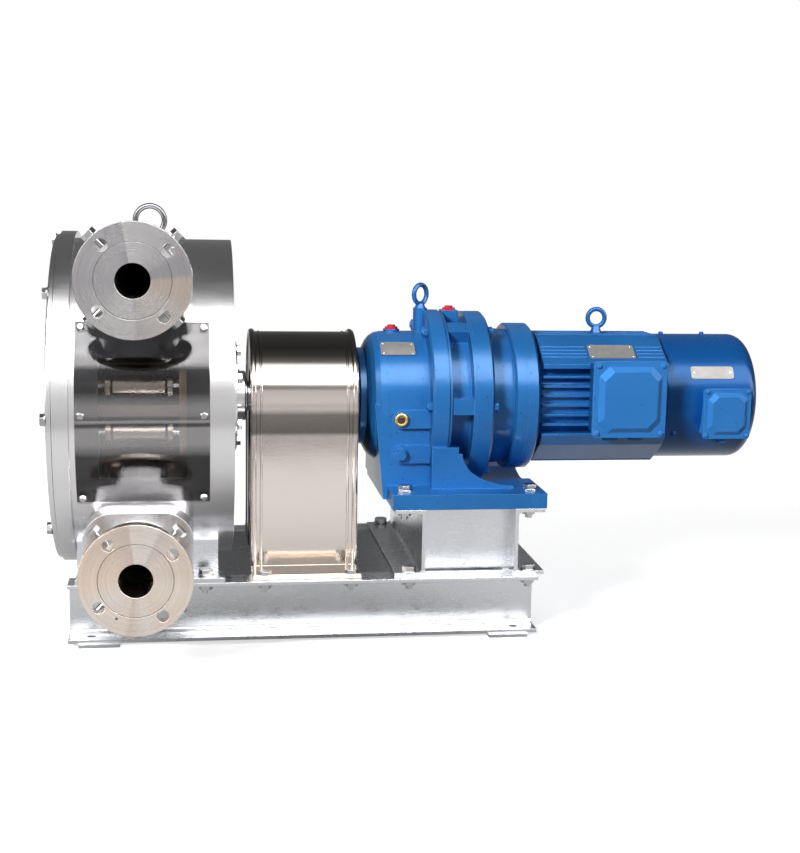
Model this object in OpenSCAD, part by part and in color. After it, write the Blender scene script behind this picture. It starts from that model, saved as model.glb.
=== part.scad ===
/* [Base frame] */
// Length of the two base channels
base_len = 750; // [720:5:900]
// Width of the base over the flange tips
base_w = 400; // [380:5:460]
// Height of a base channel
channel_h = 94; // [80:1:120]
// Width of a base channel flange
channel_w = 48; // [44:1:60]
// Wall of a base channel
channel_t = 6; // [5:0.5:8]
// Fillet inside a base channel
channel_fillet = 6; // [4:1:12]
// Spacing of the base holes along the shaft
base_hole_dx = 680; // [640:5:700]
// Spacing of the base holes across the shaft
base_hole_dy = 360; // [345:5:370]
// Diameter of the base holes
base_hole_d = 14; // [11:0.5:18]
// Thickness of a base pad
pad_t = 6; // [4:0.5:12]
// Length of a base pad
pad_len = 64; // [50:1:80]
// Width of a base pad
pad_w = 50; // [40:1:60]
// Shift of a pad from its hole towards the middle
pad_shift = 13; // [0:1:15]
// Number of cross members between the channels
cross_count = 3; // [2:1:5]
// Flange width of a cross member
cross_w = 40; // [30:1:50]
// Wall of a cross member
cross_t = 5; // [4:0.5:8]

/* [Shaft line] */
// Height of the drum above the base channels
drum_lift = 10; // [6:1:40]
// Distance from the middle of the base to the port axis
pump_back = 263; // [255:1:270]

/* [Drum] */
// Outer radius of the drum shell
shell_r = 260; // [256:1:264]
// Wall of the drum shell
shell_t = 6; // [5:0.5:8]
// Height of the bolting rim above the shell
rim_out = 11; // [8:1:20]
// Depth of the bolting rim below the surface of the shell
rim_in = 13; // [10:1:18]
// Width of the bolting rim
rim_w = 24; // [18:1:30]
// Distance from the port axis to the cover seat
cover_seat = 125; // [120:1:135]
// Depth of the drum from cover seat to back face
drum_depth = 271; // [265:1:285]
// Thickness of the rear wall
wall_t = 8; // [6:0.5:12]
// Height of the edge of the front cover above the shell
cover_out = 6; // [2:1:10]
// Thickness of the front cover
cover_t = 8; // [6:0.5:12]
// Distance of the raised middle of the cover from the surface of the shell
cover_step_in = 35; // [25:1:60]
// Height of the raised middle of the cover
cover_step_h = 3; // [2:0.5:6]
// Thickness of the cover gasket
gasket_t = 1; // [0.8:0.1:2]
// Number of cover bolts
cover_bolt_count = 8; // [6:1:16]
// Distance of the circle of cover bolts from the surface of the shell
cover_bolt_in = 3; // [1:1:6]

/* [Window] */
// Middle of the window along the shaft from the port axis
window_x = 8; // [4:1:12]
// Width of the window pane
pane_w = 200; // [190:1:204]
// Half angle of the window pane
pane_half_a = 31.5; // [30:0.1:31.5]
// Tilt of the middle of the window above the horizontal
pane_mid_a = 1.5; // [0:0.1:1.5]
// Thickness of the window pane
pane_t = 5; // [4:0.5:6]
// Thickness of the window gasket
window_gasket_t = 3; // [2:0.5:4]
// Width of the opening in the shell
opening_w = 131; // [120:1:140]
// Height of the opening in the shell
opening_h = 184; // [170:1:190]
// Distance of a window screw from the side edge of the pane
screw_edge = 9; // [8:1:12]

/* [Ports] */
// Distance from the drum surface to the face of a port
port_out = 124.5; // [120:0.5:140]
// Diameter of a port flange
port_od = 165; // [160:1:185]
// Thickness of a port flange
port_t = 20; // [18:1:24]
// Bolt circle of a port flange
port_pcd = 130; // [125:1:140]
// Bolt holes of a port flange
port_hole_count = 4; // [4:4:8]
// Diameter of the bolt holes of a port flange
port_hole_d = 18; // [14:0.5:19]
// Turn of the upper flange from the straight position
upper_turn = 4; // [0:1:10]
// Turn of the lower flange from the straight position
lower_turn = 9; // [0:1:15]
// Bore of a port
port_bore = 50; // [44:1:52]
// Diameter of the collar of a hose insert
insert_d = 109; // [100:1:112]
// Thickness of the collar of a hose insert
insert_t = 10; // [8:0.5:12]
// Diameter of the neck of a hose insert
insert_neck_d = 94; // [84:1:96]
// Length of the spigot of a hose insert
spigot_len = 66; // [50:1:80]
// Outer radius of the collar welded to a port body
port_collar_r = 62; // [58:1:66]
// Half width of a port body
port_body_half_w = 83; // [76:1:90]
// Gap between the window pane and the upper port body
upper_body_gap = 1; // [1:0.5:4]
// Gap between the window pane and the lower port body
lower_body_gap = 7; // [6:0.5:14]
// Corner radius of a port body
port_body_corner = 45; // [30:1:55]
// Distance from the drum surface to the front of a port body
port_body_out = 8; // [4:1:25]
// Distance of the clamp bolts behind the port face
clamp_bolt_back = 48; // [40:1:60]

/* [Hose] */
// Outer diameter of the hose
hose_od = 78; // [74:1:80]
// Wall of the hose
hose_wall = 11; // [9:0.5:12]
// Thickness of the hose where a roller presses it flat
squeeze_t = 20; // [19.5:0.5:24]

/* [Rotor] */
// Width of the rotor over its side plates
rotor_w = 148; // [144:1:156]
// Thickness of a rotor side plate
plate_t = 12; // [10:1:14]
// Gap between the edge of a rotor side plate and the drum
plate_gap = 48; // [42:1:50]
// Radius of the rotor hub
rotor_hub_r = 55; // [45:1:60]
// Diameter of a press roller
press_roller_d = 90; // [80:1:96]
// Diameter of a press roller axle
press_axle_d = 30; // [24:1:36]
// Body diameter of a guide roller
guide_roller_d = 44; // [36:1:46]
// Height of the lip of a guide roller
guide_lip = 5; // [3:0.5:6]
// Diameter of a guide roller axle
guide_axle_d = 14; // [12:1:18]
// Half spacing of a pair of guide rollers
guide_half = 38; // [36:1:42]
// Diameter of the pump shaft
shaft_d = 60; // [50:1:60]

/* [Bearings] */
// Outer diameter of a pump shaft bearing
bearing_od = 110; // [100:1:112]
// Width of a pump shaft bearing
bearing_w = 22; // [18:1:24]
// Radius of the bearing housing flange
bearing_flange_r = 92; // [86:1:96]
// Thickness of the bearing housing flange
bearing_flange_t = 9; // [8:1:12]
// Radius of the bearing housing cap
bearing_cap_r = 42; // [40:1:46]
// Length of the bearing housing cap
bearing_cap_len = 16; // [14:1:20]

/* [Coupling and guard] */
// Outer diameter of a coupling hub
coupling_d = 140; // [120:1:160]
// Length of a coupling hub
coupling_hub_len = 62; // [50:1:64]
// Length of the coupling jaws
jaw_len = 20; // [16:1:24]
// Number of jaws on a coupling hub
jaw_count = 3; // [3:1:4]
// Outer radius of the guard arch
guard_r = 108.6; // [100:0.1:115]
// Length of the guard
guard_len = 174.6; // [170:0.1:178]
// Sheet thickness of the guard
guard_t = 2.5; // [2:0.5:4]
// Width over the foot flanges of the guard
guard_foot_w = 370; // [364:1:384]

/* [Reducer] */
// Radius of the output cover
out_cover_r = 82; // [76:1:88]
// Length of the output cover
out_cover_len = 13; // [10:1:20]
// Radius of the reducer body
gear_body_r = 111; // [106:1:114]
// Length of the reducer body
gear_body_len = 100; // [95:1:110]
// Radius of the front flange of the reducer
gear_flange_r = 147; // [144:1:152]
// Thickness of the front flange of the reducer
gear_flange_t = 27; // [20:1:30]
// Radius of the ring gear housing
ring_r = 145; // [142:1:148]
// Radius at the bottom of the recesses of the ring gear housing
ring_recess_r = 121; // [118:1:126]
// Length of the ring gear housing
ring_len = 46; // [44:1:50]
// Width of a rib of the ring gear housing
ring_rib_w = 26; // [22:1:32]
// Thickness of the rear flange of the reducer
rear_flange_t = 30; // [24:1:34]
// Radius of the neck behind the rear flange
neck_r = 118; // [112:1:122]
// Length of the neck behind the rear flange
neck_len = 39; // [34:1:44]
// Thickness of the flange that carries the motor
adapter_t = 21; // [18:1:24]
// Length of the reducer foot
foot_len = 253; // [245:1:262]
// Width of the reducer foot
foot_w = 370; // [350:1:380]
// Thickness of the reducer foot
foot_t = 25; // [20:1:30]
// Height of the shaft axis above the underside of the foot
foot_drop = 160.5; // [158:0.5:166]
// Diameter of the output shaft
out_shaft_d = 55; // [50:1:55]
// Number of lobes of a cycloid disc
lobes = 23; // [17:2:29]
// Eccentricity of the cycloid discs
eccentricity = 3; // [2.4:0.1:3]
// Radius of the circle of ring gear pins
ring_pin_circle = 105; // [104:0.5:107]
// Diameter of a ring gear pin
ring_pin_d = 10; // [9:0.5:10.5]
// Thickness of a cycloid disc
disc_t = 16; // [14:1:17]
// Radius of the circle of output pins
out_pin_circle = 62; // [60:1:66]
// Diameter of an output pin
out_pin_d = 14; // [12:1:15]
// Number of output pins
out_pin_count = 8; // [6:2:10]

/* [Motor] */
// Radius of the motor flange
motor_flange_r = 125; // [122:1:130]
// Thickness of the motor flange
motor_flange_t = 20; // [16:1:22]
// Length of the finned motor frame
frame_len = 238; // [230:1:260]
// Half height of the motor frame
frame_r = 109; // [106:1:112]
// Radius of the frame under the fins
frame_core_r = 96; // [94:1:98]
// Thickness of a cooling fin
fin_t = 4; // [3:0.5:5]
// Pitch of the cooling fins
fin_pitch = 16; // [14:0.5:18]
// Number of side fins
fin_count = 7; // [5:1:7]
// Outer radius of the stator
stator_r = 84; // [80:1:86]
// Inner radius of the stator
stator_in_r = 53; // [50:1:56]
// Diameter of the motor shaft
motor_shaft_d = 32; // [28:1:34]
// Width of the terminal box
box_w = 124; // [110:1:130]
// Height of the terminal box
box_h = 127; // [110:1:130]
// Distance from the shaft axis to the face of the terminal box cover
box_reach = 158; // [150:1:175]
// Radius of the fan cowl
cowl_r = 107.5; // [104:0.5:110]
// Length of the fan cowl
cowl_len = 149; // [140:1:170]
// Sheet thickness of the fan cowl
cowl_t = 2; // [1.5:0.5:3]
// Rounding of the end of the fan cowl
cowl_round = 24; // [15:1:30]
// Number of fan blades
blade_count = 7; // [5:1:9]
// Width of the small terminal box
fan_box_w = 82; // [70:1:90]
// Height of the small terminal box
fan_box_h = 85; // [70:1:90]
// Distance from the shaft axis to the face of the small box
fan_box_reach = 132; // [126:1:140]

/* [Fasteners] */
// Thread of the large bolts
big_bolt_d = 12; // [10:1:14]
// Thread of the drum bolts
drum_bolt_d = 10; // [8:1:10]
// Thread of the window screws
screw_d = 6; // [5:1:6]

/* [Hidden] */
$fn = 72;

// Clearances
run_gap = 0.05;
fit_gap = 0.1;
soft_gap = 0.4;
big_hole_gap = 1;
weld_gap = 0.05;
guide_gap = 1.6;
tie_gap = 2;
cycloid_gap = 0.5;
pin_seat = 1.2;

// Base
deck_h = pad_t + channel_h;
shaft_h = deck_h + drum_lift + shell_r;
deck_z = deck_h - shaft_h;
web_y = base_w / 2 - channel_w;
cross_margin = 10;
cross_end = 60;

// Stations along the shaft, counted from the port axis
back_x = drum_depth - cover_seat;
rim_x = rim_w - cover_seat;
guard_x = back_x + 30;
guard_end_x = guard_x + guard_len;
gear_x = guard_end_x + 4.4;
body_x = gear_x + out_cover_len;
flange_x = body_x + gear_body_len;
ring_x = flange_x + gear_flange_t;
rear_x = ring_x + ring_len;
neck_x = rear_x + rear_flange_t;
adapter_x = neck_x + neck_len;
motor_x = adapter_x + adapter_t;
frame_x = motor_x + motor_flange_t;
cowl_x = frame_x + frame_len;

// Drum, hose and rotor
shell_in_r = shell_r - shell_t;
rim_r = shell_r + rim_out;
rim_in_r = shell_r - rim_in;
cover_r = shell_r + cover_out;
cover_step_r = shell_r - cover_step_in;
cover_bolt_r = shell_r - cover_bolt_in;
pane_out_r = shell_r + window_gasket_t + pane_t;
upper_body_in = round(pane_out_r * sin(pane_half_a + pane_mid_a) + upper_body_gap);
lower_body_in = round(pane_out_r * sin(pane_half_a - pane_mid_a) + lower_body_gap);
port_body_front = shell_r + port_body_out;
port_reach = shell_r + port_out;
plate_r = shell_in_r - plate_gap;
plate_window_orbit = 0.57 * plate_r;
plate_window_r = 0.184 * plate_r;
hose_r = hose_od / 2;
hose_ring_r = shell_in_r - soft_gap - hose_r;
port_z = hose_ring_r;
squeeze_r = shell_in_r - soft_gap - squeeze_t;
press_orbit = squeeze_r - soft_gap - press_roller_d / 2;
hose_bore_r = hose_r - hose_wall;
flat_half_w = hose_r + 0.47 * (hose_r - squeeze_t / 2) + 4.5;
slot_half_w = flat_half_w + 1.5;
slot_len = 106;
rotor_half = rotor_w / 2;
rotor_in = rotor_half - plate_t;
guide_orbit = hose_ring_r - hose_r - guide_gap - guide_roller_d / 2;
guide_reach = sqrt(guide_orbit * guide_orbit - guide_half * guide_half);
tie_orbit = guide_orbit + 8;
tie_size = 18;
tie_reach = guide_roller_d / 2 + guide_lip + tie_gap + tie_size / 2;
tie_a = asin(guide_half / guide_orbit) + 2 * asin(tie_reach / (2 * tie_orbit));
block_half = guide_half - guide_roller_d / 2 - guide_lip - 2;
clamp_y = clamp_bolt_back - port_reach;
screw_rows = [pane_mid_a - pane_half_a + 2.5, pane_mid_a, pane_mid_a + pane_half_a - 2.5];
guard_bolt_y = guard_foot_w / 2 - 10;

// Bearings and coupling
bearing_gap = 4;
bearing_out_x = back_x + bearing_flange_t - 8;
bearing_in_x = bearing_out_x - 2 * bearing_w - bearing_gap;
cap_x = back_x + bearing_flange_t;
coupling_shaft_d = 50;
coupling_x = guard_x + 12;
spider_x = coupling_x + coupling_hub_len;
gear_hub_x = spider_x + jaw_len;
jaw_in_r = coupling_d / 2 - 42;
jaw_a = 180 / jaw_count - 16;

// Reducer
foot_x = body_x + 31.5;
foot_z = -foot_drop;
foot_top_z = foot_t - foot_drop;
gear_bearing_od = 100;
gear_bearing_w = 21;
disc_front_x = ring_x + 2;
disc_rear_x = disc_front_x + disc_t + 4;
eccentric_r = 30;
pins = lobes + 1;
ring_bolt_r = (ring_r + ring_recess_r) / 2;
ring_bolt_count = 6;
lobe_points = 14;
// Turn that keeps the pin grooves off the start of the bore
seam_a = 90 / pins;
gear_bearing_xs = [body_x + 2, body_x + 42];
gear_cavity_x = body_x + 64;
gear_cavity_r = 95;
boss_r = 15;
boss_y = gear_body_r + 6;
sight_x = body_x + 52;
sight_z = -24;
drain_z = -82;

// Motor
fin_mid_z = 13;
fin_reach = frame_core_r + 11;
box_x = frame_x + 144;
box_z = 13;
fan_box_x = cowl_x + 84;
fan_box_z = -15;
gland_r = 15;
motor_bearing_r = 36;
motor_bearing_w = 18;
motor_bearing_xs = [frame_x + 4, cowl_x - 4 - motor_bearing_w];
eye_x = frame_x + 124;

// Feet, bolts and pedestal
foot_bolt_y = web_y + channel_w / 2 + 2;
drum_foot_w = 52;
drum_foot_t = 8;
drum_foot_xs = [back_x - 14 - drum_foot_w, rim_x + 1];
drum_foot_bolt_xs = [drum_foot_xs[0] + 22, drum_foot_xs[1] + 16];
guard_bolt_xs = [guard_x + 20, guard_end_x - 16];
gear_bolt_xs = [foot_x + 24, foot_x + foot_len - 22];
gear_bolt_y = 150;
pedestal_w = 50;
pedestal_t = 6;
pedestal_h = foot_z - deck_z;
pedestal_bolt_y = gear_bolt_y + 26;
pedestal_left_x = foot_x + 4;
pedestal_right_x = foot_x + foot_len - 2;
pedestal_bolt_xs = [pedestal_left_x + 25, pedestal_right_x - 25];

// Hose rings: places along the straight ends and angles round the bend
hose_sides = 20;
hose_end_y = port_t - port_reach;
straight_steps = [hose_end_y, -250, -150, -104, -92, -80, -66, -54, -42, -30, -18, -8];
arc_start = [0, 2, 5, 8, 11, 15, 19, 24];
arc_end = [for (i = [len(arc_start) - 1 : -1 : 0]) 180 - arc_start[i]];
arc_steps = concat(arc_start, [for (a = [30 : 12 : 150]) a], arc_end);

module on_shaft() {
  translate([-pump_back, 0, shaft_h]) children();
}

module disc_x(x0, x1, r) {
  translate([x0, 0, 0]) rotate([0, 90, 0]) cylinder(h = x1 - x0, r = r);
}

module tube_x(x0, x1, r_out, r_in) {
  difference() {
    disc_x(x0, x1, r_out);
    disc_x(x0 - 1, x1 + 1, r_in);
  }
}

module turned(points) {
  rotate([0, 90, 0]) rotate_extrude() polygon([for (p = points) [p[1], p[0]]]);
}

module arc_plate(r_in, r_out, x0, x1, a0, a1) {
  rotate([0, 90, 0]) rotate([0, 0, 270 - a1]) rotate_extrude(angle = a1 - a0)
    translate([r_in, x0]) square([r_out - r_in, x1 - x0]);
}

// Puts children, drawn along +Z, on a circle round the shaft, facing +X
module round_x(count, r, x, first = 90) {
  for (i = [0 : count - 1])
    rotate([first + i * 360 / count, 0, 0]) translate([x, r, 0]) rotate([0, 90, 0]) children();
}

// Hex bolt on +Z with its washer on z = 0 and its shank below
module hex_bolt(d, shank) {
  cylinder(h = 0.16 * d, d = 2 * d);
  translate([0, 0, 0.16 * d]) cylinder(h = 0.64 * d, d = 1.62 * d / cos(30), $fn = 6);
  translate([0, 0, -shank]) cylinder(h = shank + 0.1, d = d);
}

// Hex bolt through a stack of the given thickness, with a nut below
module through_bolt(d, grip) {
  hex_bolt(d, grip + 1.3 * d);
  translate([0, 0, -grip - 0.8 * d]) cylinder(h = 0.8 * d, d = 1.62 * d / cos(30), $fn = 6);
}

module channel_profile(h, w, t, r) {
  difference() {
    square([w, h]);
    translate([t + r, t]) square([w, h - 2 * t]);
    translate([t, t + r]) square([w, h - 2 * t - 2 * r]);
    for (z = [t + r, h - t - r]) translate([t + r, z]) circle(r);
  }
}

module base_hole_pairs(side) {
  for (s = [-1, 1]) translate([s * base_hole_dx / 2, side * base_hole_dy / 2, 0]) children();
}

module deck_bolt_places(side) {
  for (x = drum_foot_bolt_xs) translate([x, side * foot_bolt_y, 0]) children();
  for (x = guard_bolt_xs) translate([x, side * guard_bolt_y, 0]) children();
  for (x = pedestal_bolt_xs) translate([x, side * pedestal_bolt_y, 0]) children();
}

module base_channel(side) {
  difference() {
    translate([-base_len / 2, 0, pad_t]) scale([1, side, 1]) translate([0, web_y, 0])
      rotate([90, 0, 90]) linear_extrude(base_len)
        channel_profile(channel_h, channel_w, channel_t, channel_fillet);
    base_hole_pairs(side) cylinder(h = deck_h / 2, d = base_hole_d);
    translate([-pump_back, 0, deck_h - channel_t - 1])
      deck_bolt_places(side) cylinder(h = channel_t + 2, d = big_bolt_d + big_hole_gap);
  }
}

module base_channel_front() {
  color("#c3c6c9") base_channel(-1);
}

module base_channel_rear() {
  color("#c3c6c9") base_channel(1);
}

module base_cross_members() {
  h = channel_h - 2 * cross_margin;
  first = cross_end - base_len / 2;
  step = (base_len - 2 * cross_end) / (cross_count - 1);
  color("#b9bcbf") for (i = [0 : cross_count - 1])
    translate([first + i * step - cross_w / 2, web_y, pad_t + cross_margin]) rotate([90, 0, 0])
      linear_extrude(2 * web_y) channel_profile(h, cross_w, cross_t, channel_fillet);
}

module base_pads() {
  color("#77797b") for (side = [-1, 1], s = [-1, 1])
    difference() {
      translate([s * (base_hole_dx / 2 - pad_shift) - pad_len / 2,
                 side * base_hole_dy / 2 - pad_w / 2, 0]) cube([pad_len, pad_w, pad_t]);
      translate([s * base_hole_dx / 2, side * base_hole_dy / 2, -1])
        cylinder(h = pad_t + 2, d = base_hole_d);
    }
}

// Two welded saddles that carry the drum, each a box open below with a bolting plate at each end
module drum_feet() {
  saddle_w = 42;
  wall = 6;
  saddle_top = -shell_r + 60;
  color("#b9bcbf") on_shaft() for (i = [0, 1]) let (x = drum_foot_xs[i]) {
    difference() {
      translate([x, -web_y, deck_z]) cube([saddle_w, 2 * web_y, saddle_top - deck_z]);
      disc_x(x - 1, x + saddle_w + 1, shell_r + run_gap);
      translate([x + wall, wall - web_y, deck_z - 1])
        cube([saddle_w - 2 * wall, 2 * web_y - 2 * wall, saddle_top - deck_z + 2]);
      port_block(-1, fit_gap);
    }
    for (side = [-1, 1]) difference() {
      translate([x, side > 0 ? web_y + weld_gap : -web_y - channel_w, deck_z])
        cube([drum_foot_w, channel_w - weld_gap, drum_foot_t]);
      translate([drum_foot_bolt_xs[i], side * foot_bolt_y, deck_z - 1])
        cylinder(h = drum_foot_t + 2, d = big_bolt_d + big_hole_gap);
    }
  }
}

// Bolts that hold the feet, the guard, the pedestal and the reducer
module frame_bolts() {
  color("#d6d8da") on_shaft() {
    for (side = [-1, 1]) {
      for (x = drum_foot_bolt_xs) translate([x, side * foot_bolt_y, deck_z + drum_foot_t])
        through_bolt(big_bolt_d, drum_foot_t + channel_t);
      for (x = guard_bolt_xs) translate([x, side * guard_bolt_y, deck_z + guard_t])
        through_bolt(big_bolt_d, guard_t + channel_t);
      for (x = pedestal_bolt_xs) translate([x, side * pedestal_bolt_y, deck_z + pedestal_t])
        through_bolt(big_bolt_d, pedestal_t + channel_t);
      for (x = gear_bolt_xs) translate([x, side * gear_bolt_y, foot_top_z])
        through_bolt(big_bolt_d, foot_t + pedestal_t);
    }
  }
}

// Straight passage for one end of the hose, wide where the roller flattens the hose
module hose_way(side) {
  translate([0, 0, side * port_z]) rotate([90, 0, 0]) cylinder(h = port_reach, r = hose_r + fit_gap);
  translate([-slot_half_w, -slot_len, side > 0 ? port_z - 60 : -shell_in_r - run_gap])
    cube([2 * slot_half_w, slot_len, shell_in_r + run_gap - port_z + 60]);
}

// Places the window screws on the drum, drawn outward along +Z
module screw_places() {
  for (s = [-1, 1], a = screw_rows)
    translate([window_x + s * (pane_w / 2 - screw_edge), 0, 0]) rotate([90 - a, 0, 0]) children();
}

// Bolting rim, rolled shell and rear wall, welded together
module drum_shell() {
  color("#c9ccd0") on_shaft() difference() {
    union() {
      tube_x(-cover_seat, rim_x, rim_r, rim_in_r);
      tube_x(rim_x + weld_gap, back_x - wall_t - weld_gap, shell_r, shell_in_r);
      tube_x(back_x - wall_t, back_x, shell_r, bearing_od / 2 + 10);
    }
    hose_way(1);
    hose_way(-1);
    translate([window_x - opening_w / 2, -shell_r - 1, -opening_h / 2]) cube([opening_w, 140, opening_h]);
    round_x(cover_bolt_count, cover_bolt_r, -cover_seat - 1) cylinder(h = 20, d = drum_bolt_d + 2 * fit_gap);
    round_x(6, bearing_flange_r - 16, back_x - wall_t - 1)
      cylinder(h = wall_t + 2, d = drum_bolt_d + 2 * fit_gap);
    screw_places() translate([0, 0, shell_r - 20]) cylinder(h = 40, d = screw_d + 2 * fit_gap);
  }
}

module rounded_rect(w, h, r) {
  square([w - 2 * r, h], center = true);
  square([w, h - 2 * r], center = true);
  for (x = [-1, 1], y = [-1, 1]) translate([x * (w / 2 - r), y * (h / 2 - r)]) circle(r);
}

// Clamp bolts round one port, drawn outward along +Z
module clamp_places(side) {
  for (a = [45 : 90 : 315])
    translate([0, clamp_y, side * port_z]) rotate([0, a, 0]) children();
}

// Block of a port body, grown by a gap
module port_block(side, gap) {
  near = side > 0 ? upper_body_in : lower_body_in;
  h = shell_r - near + 2 * gap;
  translate([0, gap, side * (near - gap + h / 2)]) rotate([90, 0, 0])
    linear_extrude(port_body_front + 2 * gap)
      rounded_rect(2 * port_body_half_w + 2 * gap, h, port_body_corner + gap);
}

// Hood on the drum and the collar welded to its front
module port_body(side) {
  difference() {
    union() {
      port_block(side, 0);
      translate([0, -port_body_front - weld_gap, side * port_z]) rotate([90, 0, 0])
        cylinder(h = port_reach - port_t - port_body_front - weld_gap, r = port_collar_r);
    }
    disc_x(-cover_seat, back_x, shell_r);
    hose_way(side);
    clamp_places(side) translate([0, 0, 48]) cylinder(h = 40, d = big_bolt_d + 2 * fit_gap);
  }
}

module upper_port_body() {
  color("#c9ccd0") on_shaft() port_body(1);
}

module lower_port_body() {
  color("#c9ccd0") on_shaft() port_body(-1);
}

module front_cover() {
  face = -cover_seat - gasket_t;
  color("#d2d5d8") on_shaft() difference() {
    turned([[face, 0], [face, cover_r], [face - cover_t + 2, cover_r], [face - cover_t, cover_r - 2],
            [face - cover_t, cover_step_r + 3], [face - cover_t - cover_step_h, cover_step_r],
            [face - cover_t - cover_step_h, 0]]);
    round_x(cover_bolt_count, cover_bolt_r, face - cover_t - 1)
      cylinder(h = cover_t + 2, d = drum_bolt_d + big_hole_gap);
  }
}

module drum_seals() {
  color("#26282a") on_shaft() {
    difference() {
      tube_x(-cover_seat - gasket_t, -cover_seat, cover_r - 2, rim_in_r);
      round_x(cover_bolt_count, cover_bolt_r, -cover_seat - gasket_t - 1)
        cylinder(h = gasket_t + 2, d = drum_bolt_d + big_hole_gap);
    }
    tube_x(cap_x + bearing_cap_len - 10, cap_x + bearing_cap_len - 1, bearing_cap_r - 6,
           shaft_d / 2 + run_gap);
  }
}

module drum_bolts() {
  color("#dfe1e3") on_shaft() {
    round_x(cover_bolt_count, cover_bolt_r, -cover_seat - gasket_t - cover_t)
      rotate([180, 0, 0]) hex_bolt(drum_bolt_d, 24);
    round_x(6, bearing_flange_r - 16, back_x + bearing_flange_t) hex_bolt(drum_bolt_d, bearing_flange_t + wall_t);
  }
}

module window_ring(r_in, r_out, hole_gap) {
  difference() {
    arc_plate(r_in, r_out, window_x - pane_w / 2, window_x + pane_w / 2,
              pane_mid_a - pane_half_a, pane_mid_a + pane_half_a);
    screw_places() translate([0, 0, shell_r - 5]) cylinder(h = 30, d = screw_d + hole_gap);
  }
}

module window_gasket() {
  color("#1d1f21") on_shaft() difference() {
    window_ring(shell_r, shell_r + window_gasket_t, fit_gap);
    translate([window_x - opening_w / 2, -shell_r - 20, -opening_h / 2]) cube([opening_w, 140, opening_h]);
  }
}

module window_pane() {
  color("#9fb0b8") on_shaft()
    window_ring(shell_r + window_gasket_t, pane_out_r, fit_gap);
}

module window_screws() {
  seat = pane_out_r;
  color("#dfe1e3") on_shaft() screw_places() {
    translate([0, 0, shell_r - 4]) cylinder(h = seat - shell_r + 4, d = screw_d);
    translate([0, 0, seat]) cylinder(h = 3.4, d1 = 2 * screw_d, d2 = 1.4 * screw_d);
  }
}

module port_flange(side, turn) {
  difference() {
    translate([0, port_t - port_reach, side * port_z]) rotate([90, 0, 0]) cylinder(h = port_t, d = port_od);
    translate([0, insert_t - port_reach, side * port_z]) rotate([90, 0, 0])
      cylinder(h = insert_t + 1, d = insert_d + 2 * fit_gap);
    translate([0, port_t + 1 - port_reach, side * port_z]) rotate([90, 0, 0])
      cylinder(h = port_t + 2, d = insert_neck_d + 2 * fit_gap);
    for (i = [0 : port_hole_count - 1])
      translate([0, port_t + 1 - port_reach, side * port_z])
        rotate([0, turn + (i + 0.5) * 360 / port_hole_count, 0]) translate([0, 0, port_pcd / 2])
          rotate([90, 0, 0]) cylinder(h = port_t + 2, d = port_hole_d);
  }
}

module upper_port_flange() {
  color("#c7c3bf") on_shaft() port_flange(1, upper_turn);
}

module lower_port_flange() {
  color("#c7c3bf") on_shaft() port_flange(-1, lower_turn);
}

module hose_insert(side) {
  spigot_r = hose_bore_r - fit_gap;
  translate([0, 0, side * port_z]) rotate([90, 0, 0]) rotate_extrude() polygon([
    [port_bore / 2, port_reach], [insert_d / 2, port_reach], [insert_d / 2, port_reach - insert_t],
    [insert_neck_d / 2, port_reach - insert_t], [insert_neck_d / 2, port_reach - port_t],
    [spigot_r, port_reach - port_t], [spigot_r, port_reach - port_t - spigot_len + 4],
    [spigot_r - 1.5, port_reach - port_t - spigot_len], [port_bore / 2, port_reach - port_t - spigot_len]
  ]);
}

module upper_hose_insert() {
  color("#cfcbc7") on_shaft() hose_insert(1);
}

module lower_hose_insert() {
  color("#cfcbc7") on_shaft() hose_insert(-1);
}

module port_clamp_bolts() {
  tip = 49;
  proud = port_collar_r + 22;
  color("#dcdee0") on_shaft() for (side = [-1, 1]) clamp_places(side) {
    translate([0, 0, tip]) cylinder(h = proud - tip, d = big_bolt_d);
    translate([0, 0, proud]) cylinder(h = 0.66 * big_bolt_d, d = 1.62 * big_bolt_d / cos(30), $fn = 6);
  }
}

// Hose: rings along the U, each an oval that a roller squeezes towards the shell
function squeeze(s) = exp(-pow(abs(s) / (hose_ring_r * 0.285), 4));
function oval(s, inner) =
  let (k = squeeze(s),
       half = hose_r - k * (hose_r - squeeze_t / 2),
       wide = hose_r + k * (flat_half_w - hose_r),
       wall = inner ? hose_wall - k * (hose_wall - squeeze_t / 2 + 1) : 0,
       side_wall = inner ? hose_wall : 0,
       flats = inner ? 1 / cos(180 / hose_sides) : 1)
  [for (i = [0 : hose_sides - 1]) let (a = i * 360 / hose_sides)
    [flats * (wide - side_wall) * cos(a), hose_ring_r + hose_r - half + flats * (half - wall) * sin(a)]];
function straight_ring(y, inner, side) =
  [for (p = oval(y, inner)) [p[0], y, side * p[1]]];
function arc_ring(a, inner) =
  let (s = min(a, 180 - a) * PI / 180 * hose_ring_r)
  [for (p = oval(s, inner)) [p[0], p[1] * sin(a), p[1] * cos(a)]];
function hose_rings(inner) = concat(
  [for (y = straight_steps) straight_ring(y, inner, 1)],
  [for (a = arc_steps) arc_ring(a, inner)],
  [for (i = [len(straight_steps) - 1 : -1 : 0]) straight_ring(straight_steps[i], inner, -1)]);

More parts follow.
